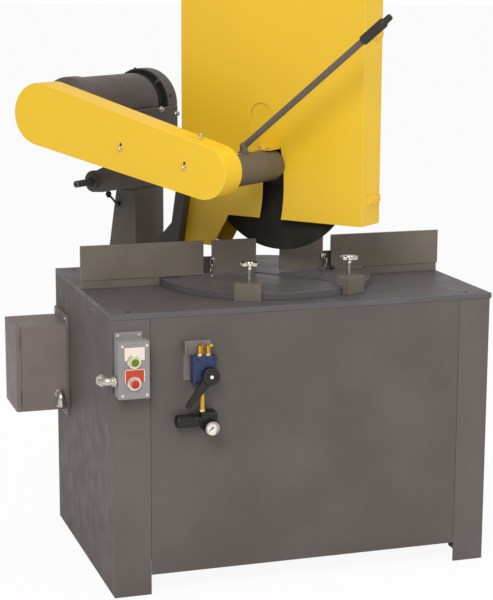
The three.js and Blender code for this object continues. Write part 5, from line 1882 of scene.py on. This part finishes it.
@dataclass
class AirControls:
    """The air valve, its pipe, and the regulator with its gauge."""

    frame: Carrier
    left: float = 245.0
    right: float = 321.0
    low: float = 690.0
    high: float = 777.0
    face: float = -50.0
    hub: Pair = (299.0, 715.0)
    air_y: float = -28.0
    pipe_x: float = 280.0
    dial: Pair = (301.0, 551.0)
    dial_face: float = -74.0
    lever_length: float = 124.0
    lever_reach: Pair = (75.0, 94.0)
    knob_z: float = 569.5
    knob_radius: float = 20.3
    knob_ribs: int = 16
    dial_marks: int = 28
    regulator_top: float = 598.0
    muffler_rings: int = 5

    def build(self) -> None:
        """Make the valve, lever, regulator and gauge."""
        self.valve()
        self.lever()
        self.regulator()
        self.gauge()

    def valve(self) -> None:
        """The blue valve with its bracket, mufflers and supply pipe."""
        body = Shape().block((self.left, self.right), (self.face, -6), (self.low, self.high), 5.0, 3)
        plate = (self.high - 35, self.high - 6)
        body.block((self.left + 6, self.right - 10), (self.face - 1.5, self.face + 4), plate, 1.2)
        self.frame.add("valve_casting", body, BLUE, Slot.BLUE_ENAMEL, ["air_valve"])
        trim = Shape()
        left, right, upper = self.left + 13, self.right - 10, self.high - 9
        for x, z in ((left, upper), (right, upper), (left, self.low + 8)):
            screw(trim, Axis.Y, (x, self.face, z), 3.6, -3)
        cap = (self.high - 17, self.high - 1)
        trim.block((self.right - 12, self.right + 3), (self.face + 4, -12), cap, 2.5)
        self.frame.add("valve_screws", trim, BLACK, Slot.BLACK_PLASTIC)
        start = self.left - 18
        top = self.high + 42
        bracket = Shape().block((start, self.right - 6), (-4.5, -GAP), (self.low + 4, top), 0.8)
        bracket.block((start, start + 4), (-26, -1), (top - 40, top), 0.8)
        self.frame.add("valve_bracket", bracket, PAINT_BOX, Slot.GREY_CASTING)
        brass = Shape()
        pale = Shape()
        high = self.high
        for across, y in ((25, self.air_y - 8), (52, self.air_y - 8), (39, self.air_y + 12)):
            at = (self.left + across, y)
            pale.rod(Axis.Z, 9, (high - 0.5, high + 7), at, 6, 0.8)
            for i in range(self.muffler_rings):
                ring = high + 7 + i * 5.2
                brass.rod(Axis.Z, 8, (ring, ring + 4), at, 24, 0.8)
            brass.rod(Axis.Z, 6.6, (high + 6, high + 34), at, 24, 1.5)
        brass.ball(7, (self.left + 61, self.air_y - 10, high + 31), sides=20)
        pipe = (self.pipe_x, self.air_y)
        brass.rod(Axis.Z, 8, (self.regulator_top, self.low + 1), pipe, 32)
        pale.rod(Axis.Z, 11, (self.regulator_top - 1, self.regulator_top + 7), pipe, 32, 1.2)
        self.frame.add("mufflers_and_pipe", brass, BRASS, Slot.BRASS)
        self.frame.add("brass_collars", pale, BRASS_PALE, Slot.BRASS)

    def lever(self) -> None:
        """The valve's hand lever with its domed hub and white dot."""
        body = self.frame.on("valve_lever")
        face = self.face - GAP
        hub = [
            (0, face),
            (28, face),
            *[(28 - 3 + 3 * math.cos(a), face - 17 - 4 * math.sin(a)) for a in (0, 0.5, 1.0, 1.5)],
            (12, face - 22),
            (0, face - 22),
        ]
        shape = Shape().turned(Axis.Y, hub, self.hub, 48)
        paddle = arc((0, 0), 17, -90, 90, 8) + arc((9 - self.lever_length, 0), 9, 90, 270, 8)
        run, drop = self.lever_reach
        arm = Shape().plate(Axis.Y, paddle, (face - 17, face - 4), 3.0, 3)
        shape.join(arm.moved(about(self.hub, -math.degrees(math.atan2(drop, run)))))
        body.add("valve_hand_lever", shape, BLACK, Slot.BLACK_PLASTIC, ["valve_lever"])
        dot = Shape().turned(
            Axis.Y, [(0, face - 21.6), (6, face - 21.8), (5.4, face - 23), (0, face - 23.4)], self.hub, 32
        )
        body.add("valve_lever_dot", dot, WHITE_DOT, Slot.GREY_CASTING)

    def regulator(self) -> None:
        """The regulator with its ribbed adjusting knob."""
        top = self.regulator_top
        shape = Shape().block((282, 325), (-50, -GAP), (top - 65, top), 6.0, 3)
        bonnet = [(0, top - 24), (20, top - 24), (20, top - 6), (16, top - 0.4), (0, top - 0.4)]
        shape.turned(Axis.Z, bonnet, (290, self.air_y), 40)
        centre = (self.air_y, self.knob_z)
        shape.rod(Axis.X, 17, (266.6, 290), centre, 32, 1.5)
        self.frame.add("regulator_casting", shape, BLACK, Slot.BLACK_PLASTIC, ["regulator"])
        knob = Shape()
        steps = 6 * self.knob_ribs
        waves = [0.7 * math.cos(math.tau * self.knob_ribs * i / steps) for i in range(steps)]
        ribs = [polar(centre, self.knob_radius + wave, 360 * i / steps) for i, wave in enumerate(waves)]
        knob.plate(Axis.X, ribs, (200, 252), 1.2)
        knob.turned(Axis.X, [(0, 194), (15, 194), (19, 197), (20, 201), (0, 201)], centre, 40)
        knob.rod(Axis.X, 18.6, (251, 266), centre, 40, 2.0)
        body = self.frame.on("regulator_knob")
        body.add("regulator_hand_knob", knob, BLACK, Slot.BLACK_PLASTIC, ["regulator_knob"])

    def gauge(self) -> None:
        """The pressure gauge: case, bezel, dial with marks, pointer and window."""
        face = self.dial_face
        case = Shape().turned(
            Axis.Y, [(0, -49), (21, -49), (22.6, -52), (22.6, face + 7), (0, face + 7)], self.dial, 64
        )
        self.frame.add("gauge_case", case, BLACK, Slot.BLACK_PLASTIC)
        bezel = Shape().turned(
            Axis.Y,
            [(20.6, face + 7), (23, face + 7), (23, face + 1), (22, face - 0.6), (20.6, face - 0.2)],
            self.dial,
            64,
        )
        self.frame.add("gauge_bezel", bezel, ZINC, Slot.CHROME)
        dial = self.disc(20.5, (face + 6.1, face + 7))
        self.frame.add("gauge_dial", dial, DIAL_WHITE, Slot.GREY_CASTING)
        marks = Shape()
        for i in range(self.dial_marks):
            reach = 5.0 if i % 3 == 0 else 2.8
            mark = Shape().block((19 - reach, 19), (face + 5.6, face + 6.2), (-0.45, 0.45))
            marks.join(mark.moved(about(self.dial, i * 10 - 225)))
        self.frame.add("gauge_marks", marks, BLACK, Slot.BLACK_PLASTIC)
        needle = Shape().block((-15, 9), (face + 3.6, face + 4.4), (-0.9, 0.9), 0.2)
        needle.rod(Axis.Y, 2.6, (face + 3, face + 5.8), (0, 0), 24, 0.4)
        needle.moved(about(self.dial, -40))
        body = self.frame.on("gauge_pointer")
        body.add("gauge_needle", needle, BLACK, Slot.BRASS, ["gauge_pointer"])
        window = self.disc(20.5, (face + 0.6, face + 1.6))
        self.frame.add("gauge_window", window, GLASS, Slot.GREY_CASTING)

    def disc(self, radius: float, span: Pair) -> Shape:
        """A flat disc on the gauge's axis, between two places along it."""
        low, high = span
        return Shape().turned(Axis.Y, [(0, high), (radius, high), (radius, low), (0, low)], self.dial, 64)


# ---------------------------------------------------------------------------
# Studio
# ---------------------------------------------------------------------------


@dataclass(frozen=True)
class Lamp:
    """A soft square lamp: where it hangs, what it points at, its width and its power in watts."""

    name: str
    place: Point
    target: Point
    size: float
    power: float


@dataclass(frozen=True)
class Studio:
    """Floor, soft light and the camera."""

    camera_place: Point = (-1.6843, -5.34245, 1.9461)
    pan: float = 17.846
    tilt: float = 11.136
    roll: float = 0.233
    lens: float = 100.07
    sky: float = 0.5
    floor_half: float = 300.0
    floor_glow: float = 0.93
    lamp_colour: Point = (1.0, 0.975, 0.945)
    lamps: tuple[Lamp, ...] = (
        Lamp("key_light", (-2.8, -5.2, 4.8), (0.0, 0.0, 0.9), 2.6, 230.0),
        Lamp("fill_light", (4.6, -3.6, 3.4), (0.2, 0.0, 1.0), 3.0, 90.0),
        Lamp("top_light", (0.3, 0.4, 5.2), (0.0, 0.0, 1.0), 3.0, 45.0),
    )

    def build(self) -> None:
        """Set the stage."""
        scene = bpy.context.scene
        scene.view_settings.view_transform = "Standard"
        self.floor()
        self.world(scene)
        for lamp in self.lamps:
            self.hang(lamp)
        self.camera(scene)

    def floor(self) -> None:
        """A plain pale floor that keeps the shadow."""
        mesh = bpy.data.meshes.new("studio_floor")
        made = bmesh.new()
        bmesh.ops.create_grid(made, x_segments=1, y_segments=1, size=self.floor_half)
        made.to_mesh(mesh)
        made.free()
        floor = bpy.data.objects.new("studio_floor", mesh)
        bpy.context.scene.collection.objects.link(floor)
        material = bpy.data.materials.new("pale_floor")
        material.use_nodes = True
        tree = material.node_tree
        tree.nodes.clear()
        pale = add_node(tree, "ShaderNodeBsdfDiffuse", inputs={"Color": linear("#f4f3f1")})
        glow = add_node(tree, "ShaderNodeEmission", inputs={"Color": (1, 1, 1, 1), "Strength": 1.0})
        path = add_node(tree, "ShaderNodeLightPath")
        share = add_node(
            tree,
            "ShaderNodeMath",
            {"operation": "MULTIPLY"},
            {0: path.outputs["Is Camera Ray"], 1: self.floor_glow},
        )
        mixed = add_node(
            tree,
            "ShaderNodeMixShader",
            inputs={0: share.outputs[0], 1: pale.outputs[0], 2: glow.outputs[0]},
        )
        add_node(tree, "ShaderNodeOutputMaterial", inputs={"Surface": mixed.outputs[0]})
        mesh.materials.append(material)

    def world(self, scene: bpy.types.Scene) -> None:
        """An even sky, white behind the object.

        Args:
            scene: The scene.
        """
        world = bpy.data.worlds.new("studio_sky")
        scene.world = world
        world.use_nodes = True
        tree = world.node_tree
        tree.nodes.clear()
        path = add_node(tree, "ShaderNodeLightPath")
        seen = add_node(
            tree,
            "ShaderNodeMath",
            {"operation": "MAXIMUM"},
            {0: path.outputs["Is Camera Ray"], 1: path.outputs["Is Transmission Ray"]},
        )
        power = add_node(
            tree,
            "ShaderNodeMapRange",
            inputs={"Value": seen.outputs[0], "To Min": self.sky, "To Max": 1.0},
        )
        glow = add_node(
            tree,
            "ShaderNodeBackground",
            inputs={"Color": (1, 1, 1, 1), "Strength": power.outputs["Result"]},
        )
        add_node(tree, "ShaderNodeOutputWorld", inputs={"Surface": glow.outputs[0]})

    def hang(self, lamp: Lamp) -> None:
        """Hang a lamp.

        Args:
            lamp: What it is and where it hangs.
        """
        light = bpy.data.lights.new(lamp.name, "AREA")
        light.size = lamp.size
        light.energy = lamp.power
        light.color = self.lamp_colour
        holder = bpy.data.objects.new(lamp.name, light)
        bpy.context.scene.collection.objects.link(holder)
        holder.location = lamp.place
        aim = Vector(lamp.target) - Vector(lamp.place)
        holder.rotation_euler = aim.to_track_quat("-Z", "Y").to_euler()

    def camera(self, scene: bpy.types.Scene) -> None:
        """Set the camera at the height and distance of a standing viewer.

        Args:
            scene: The scene.
        """
        data = bpy.data.cameras.new("camera")
        data.lens = self.lens
        data.sensor_width = 36.0
        data.sensor_fit = "AUTO"
        data.clip_end = 100.0
        camera = bpy.data.objects.new("camera", data)
        scene.collection.objects.link(camera)
        pan, tilt, roll = (math.radians(v) for v in (self.pan, self.tilt, self.roll))
        ahead = Vector((math.sin(pan) * math.cos(tilt), math.cos(pan) * math.cos(tilt), -math.sin(tilt)))
        right = Vector((math.cos(pan), -math.sin(pan), 0))
        up = right.cross(ahead)
        level = math.cos(roll) * right + math.sin(roll) * up
        upright = math.cos(roll) * up - math.sin(roll) * right
        turn = Matrix((level, upright, -ahead)).transposed()
        camera.matrix_world = Matrix.Translation(self.camera_place) @ turn.to_4x4()
        scene.camera = camera


def main() -> None:
    """Build every sub-assembly and the studio."""
    logging.basicConfig(level=logging.INFO, format="%(name)s: %(message)s")
    frames = carriers()
    Studio().build()
    Cabinet(frames["cabinet"]).build()
    Clamps(frames["cabinet"]).build()
    Turntable(frames["swing"]).build()
    Hood(frames["swing"]).build()
    Head(frames["head"]).build()
    Station(frames["cabinet"]).build()
    ElectricalBox(frames["cabinet"]).build()
    AirControls(frames["cabinet"]).build()


if __name__ == "__main__":
    main()
